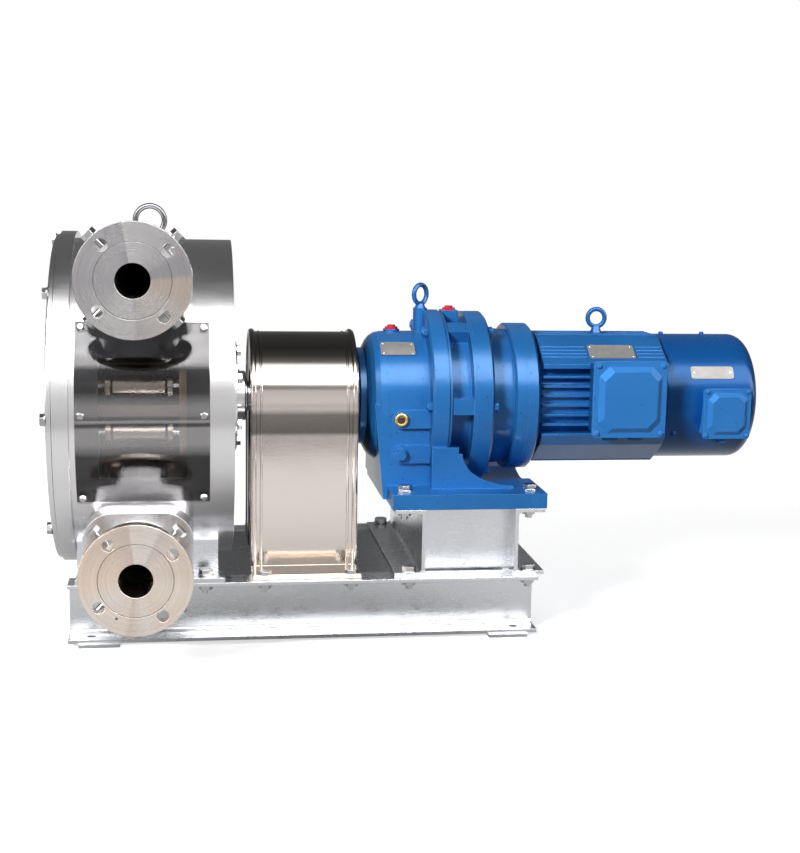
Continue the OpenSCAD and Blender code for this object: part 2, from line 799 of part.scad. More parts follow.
module pump_hose() {
  outer = hose_rings(false);
  bore = hose_rings(true);
  n = hose_sides;
  m = len(outer);
  points = [for (r = outer) each r, for (r = bore) each r];
  skins = [for (j = [0 : m - 2], i = [0 : n - 1]) let (k = (i + 1) % n)
    each [[j * n + i, j * n + k, (j + 1) * n + k, (j + 1) * n + i],
          [(m + j) * n + k, (m + j) * n + i, (m + j + 1) * n + i, (m + j + 1) * n + k]]];
  ends = [for (i = [0 : n - 1]) let (k = (i + 1) % n)
    each [[k, i, m * n + i, m * n + k],
          [(m - 1) * n + i, (m - 1) * n + k, (2 * m - 1) * n + k, (2 * m - 1) * n + i]]];
  color("#3a3a3c") on_shaft() polyhedron(points, concat(skins, ends), convexity = 6);
}

// Lifting eye standing on z = 0 at the origin, its ring in the XZ plane
module lifting_eye(ring, section, stem_h, stem_d, base_d) {
  translate([0, 0, stem_h + ring]) rotate([90, 0, 0])
    rotate_extrude() translate([ring - section / 2, 0]) circle(d = section);
  cylinder(h = stem_h + section / 2 + 1, d1 = base_d, d2 = stem_d);
}

module drum_eye_bolt() {
  color("#d9dbdd") on_shaft() translate([window_x + 7, 0, shell_r + run_gap]) lifting_eye(28, 9, 2, 14, 24);
}

module rotor_shaft() {
  end_x = -rotor_half - 8;
  seat_x = spider_x - 3;
  color("#b0b3b6") on_shaft() turned([
    [end_x, 0], [end_x, shaft_d / 2 + 9], [-rotor_half, shaft_d / 2 + 9], [-rotor_half, shaft_d / 2],
    [cap_x + bearing_cap_len + 2, shaft_d / 2], [cap_x + bearing_cap_len + 4, coupling_shaft_d / 2],
    [seat_x, coupling_shaft_d / 2], [seat_x, 0]]);
}

module guide_places(bound = [0, 1, 2, 3]) {
  for (i = bound)
    translate([0, (i < 2 ? -1 : 1) * guide_reach, (i % 2 == 0 ? 1 : -1) * guide_half]) children();
}

module rotor_frame() {
  color("#aeb1b5") on_shaft() difference() {
    union() {
      for (s = [-1, 1]) difference() {
        disc_x(s > 0 ? rotor_in : -rotor_half, s > 0 ? rotor_half : -rotor_in, plate_r);
        for (a = [45 : 90 : 315]) rotate([a, 0, 0]) translate([0, plate_window_orbit, 0])
          disc_x(-rotor_half - 1, rotor_half + 1, plate_window_r);
        for (a = [90, 270]) rotate([a, 0, 0]) translate([0, press_orbit, 0])
          disc_x(-rotor_half - 1, rotor_half + 1, press_axle_d / 2 + fit_gap);
        guide_places() disc_x(-rotor_half - 1, rotor_half + 1, guide_axle_d / 2 + fit_gap);
      }
      disc_x(-rotor_half, rotor_half, rotor_hub_r);
      for (a = [-tie_a, tie_a, 180 - tie_a, 180 + tie_a]) rotate([a, 0, 0])
        translate([-rotor_in - 1, tie_orbit - tie_size / 2, -tie_size / 2])
          cube([2 * rotor_in + 2, tie_size, tie_size]);
      for (s = [-1, 1]) translate([-rotor_in - 1, s > 0 ? guide_reach - 12 : -guide_reach - 22, -block_half])
        cube([2 * rotor_in + 2, 34, 2 * block_half]);
    }
    disc_x(-rotor_half - 1, rotor_half + 1, shaft_d / 2 + run_gap);
  }
}

module press_roller(side) {
  half = rotor_in - 3;
  bore = press_axle_d / 2 + run_gap;
  r = press_roller_d / 2;
  translate([0, 0, side * press_orbit]) turned([
    [-half, bore + 6], [-half, r - 3], [3 - half, r], [half - 3, r], [half, r - 3], [half, bore + 6],
    [half - 4, bore + 6], [half - 4, bore], [4 - half, bore], [4 - half, bore + 6]]);
}

module press_roller_upper() {
  color("#d4d6d8") on_shaft() press_roller(1);
}

module press_roller_lower() {
  color("#d4d6d8") on_shaft() press_roller(-1);
}

module roller_axles() {
  color("#9ea1a4") on_shaft() {
    for (s = [-1, 1]) translate([0, 0, s * press_orbit]) {
      disc_x(-rotor_half - 6, rotor_half + 6, press_axle_d / 2);
      for (e = [-1, 1]) disc_x(e > 0 ? rotor_half : -rotor_half - 4, e > 0 ? rotor_half + 4 : -rotor_half,
                               press_axle_d / 2 + 5);
    }
    guide_places() {
      disc_x(-rotor_half - 4, rotor_half + 4, guide_axle_d / 2);
      for (e = [-1, 1]) disc_x(e > 0 ? rotor_half : -rotor_half - 4, e > 0 ? rotor_half + 4 : -rotor_half,
                               guide_axle_d / 2 + 4);
    }
  }
}

module guide_roller(i) {
  r = guide_roller_d / 2;
  half = rotor_in - 10;
  bore = guide_axle_d / 2 + run_gap;
  guide_places([i]) turned([
    [-half, bore], [-half, r + guide_lip], [8 - half, r + guide_lip], [12 - half, r], [half - 12, r],
    [half - 8, r + guide_lip], [half, r + guide_lip], [half, bore]]);
}

module guide_roller_1() {
  color("#d4d6d8") on_shaft() guide_roller(0);
}

module guide_roller_2() {
  color("#d4d6d8") on_shaft() guide_roller(1);
}

module guide_roller_3() {
  color("#d4d6d8") on_shaft() guide_roller(2);
}

module guide_roller_4() {
  color("#d4d6d8") on_shaft() guide_roller(3);
}

module bearing_housing() {
  bore = bearing_od / 2;
  end_x = cap_x + bearing_cap_len;
  color("#b4b7ba") on_shaft() difference() {
    turned([
      [bearing_in_x - 5, shaft_d / 2 + 4], [bearing_in_x - 5, bore + 10 - fit_gap],
      [back_x, bore + 10 - fit_gap], [back_x, bearing_flange_r], [cap_x, bearing_flange_r],
      [cap_x, bearing_cap_r], [end_x - 2, bearing_cap_r], [end_x, bearing_cap_r - 2],
      [end_x, bearing_cap_r - 6], [end_x - 10, bearing_cap_r - 6], [end_x - 10, shaft_d / 2 + 2],
      [bearing_out_x, shaft_d / 2 + 2], [bearing_out_x, bore], [bearing_in_x, bore],
      [bearing_in_x, shaft_d / 2 + 4]]);
    round_x(6, bearing_flange_r - 16, back_x - 1)
      cylinder(h = bearing_flange_t + 2, d = drum_bolt_d + big_hole_gap);
  }
}

// Shielded bearing as one turned ring with a groove on each face
module bearing(x, r_out, r_in, w) {
  mid = (r_out + r_in) / 2;
  groove = (r_out - r_in) * 0.22;
  turned([
    [x, r_in], [x, mid - groove], [x + 1, mid - groove], [x + 1, mid + groove], [x, mid + groove],
    [x, r_out], [x + w, r_out], [x + w, mid + groove], [x + w - 1, mid + groove],
    [x + w - 1, mid - groove], [x + w, mid - groove], [x + w, r_in]]);
}

module shaft_bearings() {
  color("#8f9295") on_shaft() {
    for (x = [bearing_in_x, bearing_in_x + bearing_w + bearing_gap])
      bearing(x, bearing_od / 2, shaft_d / 2 + run_gap, bearing_w);
    for (x = gear_bearing_xs) bearing(x, gear_bearing_od / 2, out_shaft_d / 2 + run_gap, gear_bearing_w);
    for (x = motor_bearing_xs) bearing(x, motor_bearing_r, motor_shaft_d / 2 + run_gap, motor_bearing_w);
  }
}

module coupling_jaws(x0, x1, first) {
  for (i = [0 : jaw_count - 1]) let (a = first + i * 360 / jaw_count)
    arc_plate(jaw_in_r, coupling_d / 2 - 1, x0, x1, a - jaw_a / 2, a + jaw_a / 2);
}

module coupling_hub_pump() {
  color("#54585c") on_shaft() {
    tube_x(coupling_x, spider_x, coupling_d / 2, coupling_shaft_d / 2 + run_gap);
    coupling_jaws(spider_x - 2, gear_hub_x - 0.5, 90);
  }
}

module coupling_hub_gear() {
  color("#54585c") on_shaft() {
    tube_x(gear_hub_x, gear_hub_x + coupling_hub_len, coupling_d / 2, out_shaft_d / 2 + run_gap);
    coupling_jaws(spider_x + 0.5, gear_hub_x + 2, 90 + 180 / jaw_count);
  }
}

module coupling_spider() {
  leg_a = 180 / jaw_count - jaw_a - 1;
  color("#c0392b") on_shaft() {
    tube_x(spider_x + 1, gear_hub_x - 1, jaw_in_r - 1, jaw_in_r - 8);
    for (i = [0 : 2 * jaw_count - 1]) let (a = 90 + (i + 0.5) * 180 / jaw_count)
      arc_plate(jaw_in_r - 2, coupling_d / 2 - 2, spider_x + 1, gear_hub_x - 1, a - leg_a / 2, a + leg_a / 2);
  }
}

module arch_profile(r, drop) {
  circle(r);
  translate([-r, -drop]) square([2 * r, drop]);
}

// Extrudes a profile drawn as width and height along the shaft
module along_x(x0, x1) {
  translate([x0, 0, 0]) rotate([90, 0, 90]) linear_extrude(x1 - x0) children();
}

module coupling_guard() {
  drop = -deck_z;
  color("#cfd0d0") on_shaft() {
    difference() {
      union() {
        along_x(guard_x, guard_end_x) arch_profile(guard_r, drop);
        for (x = [guard_x, guard_end_x - 9]) along_x(x, x + 9) arch_profile(guard_r + 2.5, drop);
      }
      along_x(guard_x - 1, guard_end_x + 1) arch_profile(guard_r - guard_t, drop + 1);
    }
    for (side = [-1, 1]) difference() {
      translate([guard_x, side > 0 ? guard_r - 1 : -guard_foot_w / 2, deck_z])
        cube([guard_len, guard_foot_w / 2 - guard_r + 1, guard_t]);
      for (x = guard_bolt_xs) translate([x, side * guard_bolt_y, deck_z - 1])
        cylinder(h = guard_t + 2, d = big_bolt_d + big_hole_gap);
    }
  }
}

module guard_end_plates() {
  plate = 2;
  slot = bearing_cap_r + 4;
  color("#2c2e30") on_shaft() for (x = [guard_x + 2, guard_end_x - 2 - plate])
    difference() {
      along_x(x, x + plate) arch_profile(guard_r - guard_t - run_gap, -deck_z);
      along_x(x - 1, x + plate + 1) arch_profile(slot, 1 - deck_z);
    }
}

// Two channels across the base with a plate between them at the front and at the back
module pedestal() {
  left_web = pedestal_left_x + pedestal_w;
  right_web = pedestal_right_x - pedestal_w;
  plate_y = 137;
  color("#c6c8ca") on_shaft() {
    difference() {
      union() {
        for (s = [-1, 1])
          translate([s > 0 ? right_web : left_web, foot_w / 2, deck_z]) rotate([90, 0, 0])
            linear_extrude(foot_w) scale([s, 1]) channel_profile(pedestal_h, pedestal_w, pedestal_t, channel_fillet);
      }
      for (side = [-1, 1]) {
        for (x = gear_bolt_xs) translate([x, side * gear_bolt_y, foot_z - pedestal_t - 1])
          cylinder(h = pedestal_t + 2, d = big_bolt_d + big_hole_gap);
        for (x = pedestal_bolt_xs) translate([x, side * pedestal_bolt_y, deck_z - 1])
          cylinder(h = pedestal_t + 2, d = big_bolt_d + big_hole_gap);
      }
    }
    for (side = [-1, 1]) translate([left_web, side > 0 ? plate_y : -plate_y - pedestal_t, deck_z])
      cube([right_web - left_web, pedestal_t, pedestal_h]);
  }
}

module side_boss(z) {
  translate([sight_x, -boss_y, z]) rotate([-90, 0, 0]) cylinder(h = boss_y - 60, r = boss_r);
  translate([sight_x, -boss_y, z - boss_r]) cube([flange_x - sight_x + 1, boss_y - 60, 2 * boss_r]);
}

// Web that stands on the foot beside the ring gear housing, swept out to the foot by an arc
module foot_web() {
  left = flange_x + 1;
  step = ring_x + 18;
  tip = foot_x + foot_len - 46;
  sweep = -78 - foot_top_z;
  translate([0, 9, 0]) rotate([90, 0, 0]) linear_extrude(18) difference() {
    translate([left, foot_top_z - 1]) square([tip - left, -66 - foot_top_z]);
    translate([step, -78]) square([tip, 40]);
    translate([tip, -78]) scale([(tip - step) / sweep, 1]) circle(sweep - 4);
  }
}

module reducer_housing() {
  rise = flange_x + 6;
  web_y_mid = 131;
  color("#1f63b4") on_shaft() difference() {
    union() {
      turned([
        [body_x, 0], [body_x, 84], [body_x + 6, 96], [body_x + 12, 103], [body_x + 20, 108],
        [body_x + 30, gear_body_r - 1], [flange_x, gear_body_r], [flange_x, gear_flange_r - 3],
        [flange_x + 3, gear_flange_r], [ring_x, gear_flange_r], [ring_x, 0]]);
      translate([0, gear_body_r - 3, 0]) rotate([90, 0, 0]) linear_extrude(2 * gear_body_r - 6)
        polygon([[body_x + 10, 0], [foot_x - 6, foot_z + 2], [rise, foot_z + 2], [rise, 0]]);
      translate([foot_x, -foot_w / 2, foot_z]) cube([foot_len, foot_w, foot_t]);
      for (s = [-1, 1]) translate([0, s * web_y_mid, 0]) foot_web();
      side_boss(sight_z);
      side_boss(drain_z);
      translate([flange_x - 2, 0, 90]) cylinder(h = 60, r = 12);
      translate([body_x + 49, 0, 90]) cylinder(h = 24, r = 14);
    }
    disc_x(body_x - 1, gear_cavity_x + 1, gear_bearing_od / 2);
    disc_x(gear_cavity_x, ring_x + 1, gear_cavity_r);
    disc_x(ring_x, foot_x + foot_len + 1, ring_r + 2);
    translate([body_x + 49, 0, 60]) cylinder(h = 60, r = 6 + fit_gap);
    for (z = [sight_z, drain_z]) translate([sight_x, -boss_y - 1, z]) rotate([-90, 0, 0])
      cylinder(h = 14, r = 7 + fit_gap);
    for (side = [-1, 1], x = gear_bolt_xs) translate([x, side * gear_bolt_y, foot_z - 1])
      cylinder(h = foot_t + 2, d = big_bolt_d + big_hole_gap);
    round_x(ring_bolt_count, ring_bolt_r, flange_x + 5, 0)
      cylinder(h = gear_flange_t, d = drum_bolt_d + 2 * fit_gap);
    nut_side() translate([0, 0, -1]) cylinder(h = gear_flange_t, d = drum_bolt_d + 2 * fit_gap);
  }
}

module output_cover() {
  color("#1f63b4") on_shaft() turned([
    [gear_x, out_shaft_d / 2 + 1], [gear_x, out_cover_r - 3], [gear_x + 3, out_cover_r],
    [body_x, out_cover_r], [body_x, gear_bearing_od / 2 - 8], [body_x - 4, gear_bearing_od / 2 - 8],
    [body_x - 4, out_shaft_d / 2 + 1]]);
}

module output_shaft() {
  web_x = gear_cavity_x + 10;
  web_end = ring_x - 18;
  pin_end = disc_rear_x + disc_t + 2;
  color("#a5a8ab") on_shaft() {
    turned([
      [gear_hub_x + 2, 0], [gear_hub_x + 2, out_shaft_d / 2], [gear_cavity_x - 1, out_shaft_d / 2],
      [web_x, out_shaft_d / 2 + 8], [web_x, 84], [web_end, 84], [web_end, 22], [web_end - 6, 22],
      [web_end - 6, 0]]);
    round_x(out_pin_count, out_pin_circle, web_end - 1) cylinder(h = pin_end - web_end + 1, d = out_pin_d);
  }
}

module ring_gear_housing() {
  color("#1f63b4") on_shaft() difference() {
    union() {
      rotate([seam_a, 0, 0]) tube_x(ring_x, rear_x, ring_recess_r, ring_pin_circle + pin_seat);
      for (x = [ring_x, rear_x - 5]) tube_x(x, x + 5, ring_r, ring_recess_r - 1);
      for (i = [0 : ring_bolt_count - 1]) rotate([i * 360 / ring_bolt_count, 0, 0])
        translate([ring_x + 2, ring_recess_r - 3, -ring_rib_w / 2])
          cube([ring_len - 4, ring_r - ring_recess_r + 1, ring_rib_w]);
      translate([ring_x + 6, -16, ring_recess_r - 3]) cube([28, 32, ring_r - ring_recess_r + 5]);
    }
    round_x(pins, ring_pin_circle, ring_x - 1, 0) cylinder(h = ring_len + 2, d = ring_pin_d + 2 * fit_gap);
    round_x(ring_bolt_count, ring_bolt_r, ring_x - 1, 0) cylinder(h = ring_len + 2, d = drum_bolt_d + 2 * fit_gap);
  }
}

module ring_gear_pins() {
  color("#b9bcbf") on_shaft() round_x(pins, ring_pin_circle, ring_x, 0) cylinder(h = ring_len, d = ring_pin_d);
}

// Tooth form of a disc that rolls inside the pins, set in by the clearance
function cycloid_point(phi) =
  let (r = ring_pin_d / 2 + cycloid_gap,
       k = ring_pin_circle / (eccentricity * pins),
       psi = atan2(sin((1 - pins) * phi), k - cos((1 - pins) * phi)))
  [ring_pin_circle * cos(phi) - r * cos(phi + psi) - eccentricity * cos(pins * phi),
   -ring_pin_circle * sin(phi) + r * sin(phi + psi) + eccentricity * sin(pins * phi)];

module cycloid_disc(x, turn) {
  count = lobes * lobe_points;
  hole = out_pin_d / 2 + eccentricity + 2 * fit_gap;
  translate([x, 0, 0]) rotate([0, 90, 0]) rotate([0, 0, turn]) translate([eccentricity, 0, 0])
    linear_extrude(disc_t) difference() {
      polygon([for (i = [0 : count - 1]) cycloid_point(i * 360 / count)]);
      circle(eccentric_r + run_gap);
      for (i = [0 : out_pin_count - 1]) rotate(i * 360 / out_pin_count) translate([out_pin_circle, 0]) circle(hole);
    }
}

module cycloid_disc_front() {
  color("#c4b48a") on_shaft() cycloid_disc(disc_front_x, 0);
}

module cycloid_disc_rear() {
  color("#c4b48a") on_shaft() cycloid_disc(disc_rear_x, 180);
}

module motor_adapter() {
  bore = motor_bearing_r + 14;
  color("#1f63b4") on_shaft() difference() {
    turned([
      [rear_x, bore], [rear_x, ring_r], [neck_x - 4, ring_r], [neck_x, ring_r - 4], [neck_x, neck_r],
      [adapter_x, neck_r - 4], [adapter_x, motor_flange_r - 3], [adapter_x + 3, motor_flange_r],
      [motor_x, motor_flange_r], [motor_x, bore]]);
    round_x(ring_bolt_count, ring_bolt_r, rear_x - 1, 0)
      cylinder(h = rear_flange_t + 2, d = drum_bolt_d + 2 * fit_gap);
  }
}

// Places where a bolt of the ring gear housing comes out of the front flange above its foot
module nut_side() {
  for (a = [0 : 360 / ring_bolt_count : 180])
    rotate([a, 0, 0]) translate([flange_x, ring_bolt_r, 0]) rotate([0, 90, 0]) children();
}

// Bolts of the ring gear housing with their nuts, and the drain plug
module reducer_bolts() {
  d = drum_bolt_d;
  af = 1.62 * d / cos(30);
  color("#1f63b4") on_shaft() {
    round_x(ring_bolt_count, ring_bolt_r, neck_x, 0) {
      cylinder(h = 0.64 * d, d = af, $fn = 6);
      translate([0, 0, flange_x + 6 - neck_x]) cylinder(h = neck_x - flange_x - 6, d = d);
    }
    nut_side() {
      translate([0, 0, -0.9 * d]) cylinder(h = 0.9 * d + 7, d = d);
      translate([0, 0, -0.7 * d]) cylinder(h = 0.7 * d, d = af, $fn = 6);
    }
    translate([sight_x, -boss_y, drain_z]) rotate([90, 0, 0]) {
      cylinder(h = 3, r = 12);
      translate([0, 0, 3]) cylinder(h = 6, d = 19, $fn = 6);
      translate([0, 0, -12]) cylinder(h = 12, r = 7);
    }
  }
}

module breather_plugs() {
  color("#d9303a") on_shaft() {
    translate([body_x + 49, 0, 114]) {
      translate([0, 0, -14]) cylinder(h = 14, r = 6);
      cylinder(h = 4, d = 22, $fn = 6);
      translate([0, 0, 4]) cylinder(h = 3, r = 7);
    }
    translate([ring_x + 20, 0, ring_r + 2]) {
      cylinder(h = 4, d = 22, $fn = 6);
      translate([0, 0, 4]) cylinder(h = 3, r = 7);
    }
  }
}

module oil_sight() {
  color("#c49a3c") on_shaft() translate([sight_x, -boss_y, sight_z]) rotate([90, 0, 0]) {
    difference() {
      union() {
        cylinder(h = 6, r = 12);
        translate([0, 0, -12]) cylinder(h = 12, r = 7);
      }
      translate([0, 0, 3]) cylinder(h = 4, r = 6.5);
    }
  }
}

module drive_eye_bolts() {
  color("#2c6fb8") on_shaft() {
    translate([flange_x - 2, 0, 150]) rotate([0, 0, 40]) lifting_eye(20, 8, 3, 12, 20);
    translate([eye_x, 0, frame_r + 1]) lifting_eye(19, 8, 6, 12, 20);
  }
}

// Cross section of the motor frame: core, shoulders, side fins and top and bottom fins
module frame_profile() {
  reach = fin_reach;
  circle(frame_core_r);
  for (s = [-1, 1]) {
    polygon([[s * 44, frame_r - 3], [s * reach, 66], [s * reach, 62], [s * 60, 50], [s * 40, 80]]);
    polygon([[s * 40, 3 - frame_r], [s * 92, -72], [s * reach, -54], [s * reach, -50], [s * 60, -50], [s * 30, -80]]);
    for (i = [0 : fin_count - 1])
      translate([s > 0 ? 60 : -reach, fin_mid_z + (i - (fin_count - 1) / 2) * fin_pitch - fin_t / 2])
        square([reach - 60, fin_t]);
  }
  for (i = [-2 : 2]) {
    translate([i * 17 - fin_t / 2, 80]) square([fin_t, frame_r - 80]);
    translate([i * 17 - fin_t / 2, -frame_r]) square([fin_t, frame_r - 80]);
  }
}

module motor_frame() {
  bore = stator_r + fit_gap;
  color("#1f63b4") on_shaft() difference() {
    union() {
      turned([
        [motor_x, 0], [motor_x, motor_flange_r], [frame_x - 3, motor_flange_r], [frame_x, motor_flange_r - 3],
        [frame_x, 104], [frame_x + 8, 100], [frame_x + 8, 0]]);
      along_x(frame_x + 8, cowl_x - 16) frame_profile();
      disc_x(cowl_x - 17, cowl_x, cowl_r - cowl_t);
      translate([eye_x, 0, 80]) cylinder(h = frame_r + 1 - 80, r = 13);
      translate([eye_x, 0, -frame_r - 3]) cylinder(h = 30, r = 7);
      translate([box_x - 50, -fin_reach, box_z - 50]) cube([100, 40, 100]);
    }
    disc_x(frame_x + 26, cowl_x - 26, bore);
    disc_x(frame_x + 3, frame_x + 27, motor_bearing_r + run_gap);
    disc_x(cowl_x - 27, cowl_x - 3, motor_bearing_r + run_gap);
    disc_x(motor_x - 1, cowl_x + 1, motor_shaft_d / 2 + 2);
  }
}

module motor_stator() {
  color("#8a6a3a") on_shaft() {
    tube_x(frame_x + 60, cowl_x - 60, stator_r, stator_in_r);
    for (x = [frame_x + 36, cowl_x - 60]) tube_x(x, x + 24, stator_r - 6, stator_in_r + 6);
  }
}

module motor_rotor() {
  shaft_r = motor_shaft_d / 2;
  tip_x = disc_front_x - 12;
  color("#9a9da0") on_shaft() {
    disc_x(tip_x, cowl_x - 6, shaft_r);
    disc_x(frame_x + 58, cowl_x - 58, stator_in_r - 0.5);
    translate([0, 0, -eccentricity]) disc_x(disc_front_x - 1, disc_front_x + disc_t + 1, eccentric_r);
    translate([0, 0, eccentricity]) disc_x(disc_rear_x - 1, disc_rear_x + disc_t + 1, eccentric_r);
  }
}

module boxed(w, h, x, z, y0, y1, r) {
  translate([x, -y0, z]) rotate([90, 0, 0]) linear_extrude(y1 - y0) rounded_rect(w, h, r);
}

module cut_corner_rect(w, h, c) {
  polygon([[c - w / 2, -h / 2], [w / 2 - c, -h / 2], [w / 2, c - h / 2], [w / 2, h / 2 - c],
           [w / 2 - c, h / 2], [c - w / 2, h / 2], [-w / 2, h / 2 - c], [-w / 2, c - h / 2]]);
}

// Raised panel with sloping sides and cut corners on a box cover
module cover_panel(w, h, x, z, y, rise, slope, corner) {
  hull() {
    translate([x, -y + 1, z]) rotate([90, 0, 0]) linear_extrude(1) cut_corner_rect(w, h, corner);
    translate([x, -y - rise + 1, z]) rotate([90, 0, 0]) linear_extrude(1)
      cut_corner_rect(w - 2 * slope, h - 2 * slope, corner);
  }
}

module terminal_box() {
  front = box_reach - 14;
  color("#1f63b4") on_shaft() difference() {
    union() {
      boxed(box_w - 10, box_h - 10, box_x, box_z, fin_reach, front, 6);
      for (dx = [-22, 22]) translate([box_x + dx, -fin_reach - gland_r - 1, box_z - box_h / 2 - 7]) cylinder(h = 20, r = gland_r);
    }
    boxed(box_w - 18, box_h - 18, box_x, box_z, fin_reach + 4, front + 1, 4);
  }
}

module terminal_box_cover() {
  front = box_reach - 14;
  color("#2a70c2") on_shaft() {
    boxed(box_w, box_h, box_x, box_z, front, front + 7, 8);
    cover_panel(box_w - 18, box_h - 18, box_x, box_z, front + 7, 7, 8, 16);
  }
}

module fan_cowl() {
  end_x = cowl_x + cowl_len;
  r = cowl_r;
  k = cowl_round;
  color("#1c58a2") on_shaft() difference() {
    turned(concat([[cowl_x - 14, 0], [cowl_x - 14, r]],
                  [for (a = [0 : 9 : 90]) [end_x - k + k * sin(a), r - k + k * cos(a)]], [[end_x, 0]]));
    turned(concat([[cowl_x - 15, 0], [cowl_x - 15, r - cowl_t]],
                  [for (a = [0 : 9 : 90]) [end_x - k + (k - cowl_t) * sin(a), r - k + (k - cowl_t) * cos(a)]],
                  [[end_x - cowl_t, 0]]));
    for (ring = [0 : 3], i = [0 : 7]) let (ri = 26 + ring * 15)
      rotate([0, 90, 0]) rotate([0, 0, i * 45 + 4]) rotate_extrude(angle = 37)
        translate([ri, end_x - 6]) square([8, 12]);
  }
}

module cooling_fan() {
  x0 = cowl_x + 86;
  color("#3c4044") on_shaft() {
    tube_x(x0, x0 + 32, 30, 8 + run_gap);
    for (i = [0 : blade_count - 1]) rotate([i * 360 / blade_count, 0, 0])
      translate([x0 + 2, 28, 0]) rotate([0, 24, 0]) translate([0, 0, -1.5]) cube([30, 66, 3]);
  }
}

module fan_motor() {
  x0 = cowl_x + 22;
  color("#2b2e31") on_shaft() {
    disc_x(x0, x0 + 52, 44);
    disc_x(x0 + 51, x0 + 104, 8);
    for (a = [45 : 90 : 315]) rotate([a, 0, 0]) translate([x0 + 8, 42, -3])
      cube([12, cowl_r - cowl_t - 42.6, 6]);
  }
}

module fan_terminal_box() {
  front = fan_box_reach - 11;
  color("#2a70c2") on_shaft() difference() {
    union() {
      boxed(fan_box_w - 8, fan_box_h - 8, fan_box_x, fan_box_z, 70, front, 5);
      boxed(fan_box_w, fan_box_h, fan_box_x, fan_box_z, front, front + 5, 6);
      cover_panel(fan_box_w - 14, fan_box_h - 14, fan_box_x, fan_box_z, front + 5, 6, 6, 11);
      translate([fan_box_x, -front + 16, fan_box_z - fan_box_h / 2 - 9]) cylinder(h = 20, r = 9);
    }
    disc_x(cowl_x, cowl_x + cowl_len, cowl_r + run_gap);
  }
}

base_channel_front();
base_channel_rear();
base_cross_members();
base_pads();
drum_feet();
frame_bolts();
drum_shell();
upper_port_body();
lower_port_body();
front_cover();
drum_seals();
drum_bolts();
window_gasket();
window_pane();
window_screws();
upper_port_flange();
lower_port_flange();
upper_hose_insert();
lower_hose_insert();
port_clamp_bolts();
pump_hose();
drum_eye_bolt();
rotor_shaft();
rotor_frame();
press_roller_upper();
press_roller_lower();
roller_axles();
guide_roller_1();
guide_roller_2();
guide_roller_3();
guide_roller_4();
bearing_housing();
shaft_bearings();
coupling_hub_pump();
coupling_hub_gear();
coupling_spider();
coupling_guard();
guard_end_plates();
pedestal();
reducer_housing();
output_cover();
output_shaft();
ring_gear_housing();
ring_gear_pins();
cycloid_disc_front();
cycloid_disc_rear();
motor_adapter();
reducer_bolts();
breather_plugs();
oil_sight();
drive_eye_bolts();
motor_frame();
motor_stator();
motor_rotor();
terminal_box();
terminal_box_cover();
fan_cowl();
cooling_fan();
fan_motor();
fan_terminal_box();
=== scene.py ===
import math

import bmesh
import bpy
from mathutils import Matrix, Vector


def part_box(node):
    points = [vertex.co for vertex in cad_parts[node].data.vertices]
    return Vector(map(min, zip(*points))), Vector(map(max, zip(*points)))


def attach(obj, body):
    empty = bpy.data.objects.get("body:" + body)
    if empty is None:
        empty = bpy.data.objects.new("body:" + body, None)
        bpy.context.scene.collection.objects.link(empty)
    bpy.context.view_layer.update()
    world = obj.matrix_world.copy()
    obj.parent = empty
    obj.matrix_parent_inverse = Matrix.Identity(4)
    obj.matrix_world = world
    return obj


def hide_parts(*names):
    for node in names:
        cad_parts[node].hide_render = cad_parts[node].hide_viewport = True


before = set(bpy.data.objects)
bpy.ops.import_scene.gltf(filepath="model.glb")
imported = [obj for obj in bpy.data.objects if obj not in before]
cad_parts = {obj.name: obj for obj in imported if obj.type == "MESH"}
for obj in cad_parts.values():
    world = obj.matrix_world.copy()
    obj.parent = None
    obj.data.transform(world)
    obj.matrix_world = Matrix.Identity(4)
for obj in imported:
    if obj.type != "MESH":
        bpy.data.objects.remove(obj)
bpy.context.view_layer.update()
scene = bpy.context.scene
print("frame loaded:", len(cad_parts), "nodes")

# Where the shaft runs: the drum's ports stand at drumX, the shaft at shaftZ, both in metres
shaftLine = {"drumX": -0.263, "shaftZ": 0.370}


def onShaft(x, y, z):
    # A place given in millimetres from the crossing of port plane and shaft
    return Vector((shaftLine["drumX"] + x / 1000, y / 1000, shaftLine["shaftZ"] + z / 1000))


class Wire:
    # A node socket that can take part in sums
    def __init__(self, maker, socket):
        self.maker, self.socket = maker, socket

    def join(self, operation, other, swapped=False):
        first, second = (other, self) if swapped else (self, other)
        return self.maker.add("ShaderNodeMath", {"operation": operation}, {0: first, 1: second})

    def __add__(self, other):
        return self.join("ADD", other)

    def __sub__(self, other):
        return self.join("SUBTRACT", other)

    def __rsub__(self, other):
        return self.join("SUBTRACT", other, True)

    def __mul__(self, other):
        return self.join("MULTIPLY", other)

    __radd__ = __add__
    __rmul__ = __mul__


# Sharp edges: how wide the light is rounded, and from which turn an edge gets a painted highlight
edgeLook = {"samples": 4, "soft": 0.001, "edgeHighlight": ((0.02, 0), (0.16, 1))}


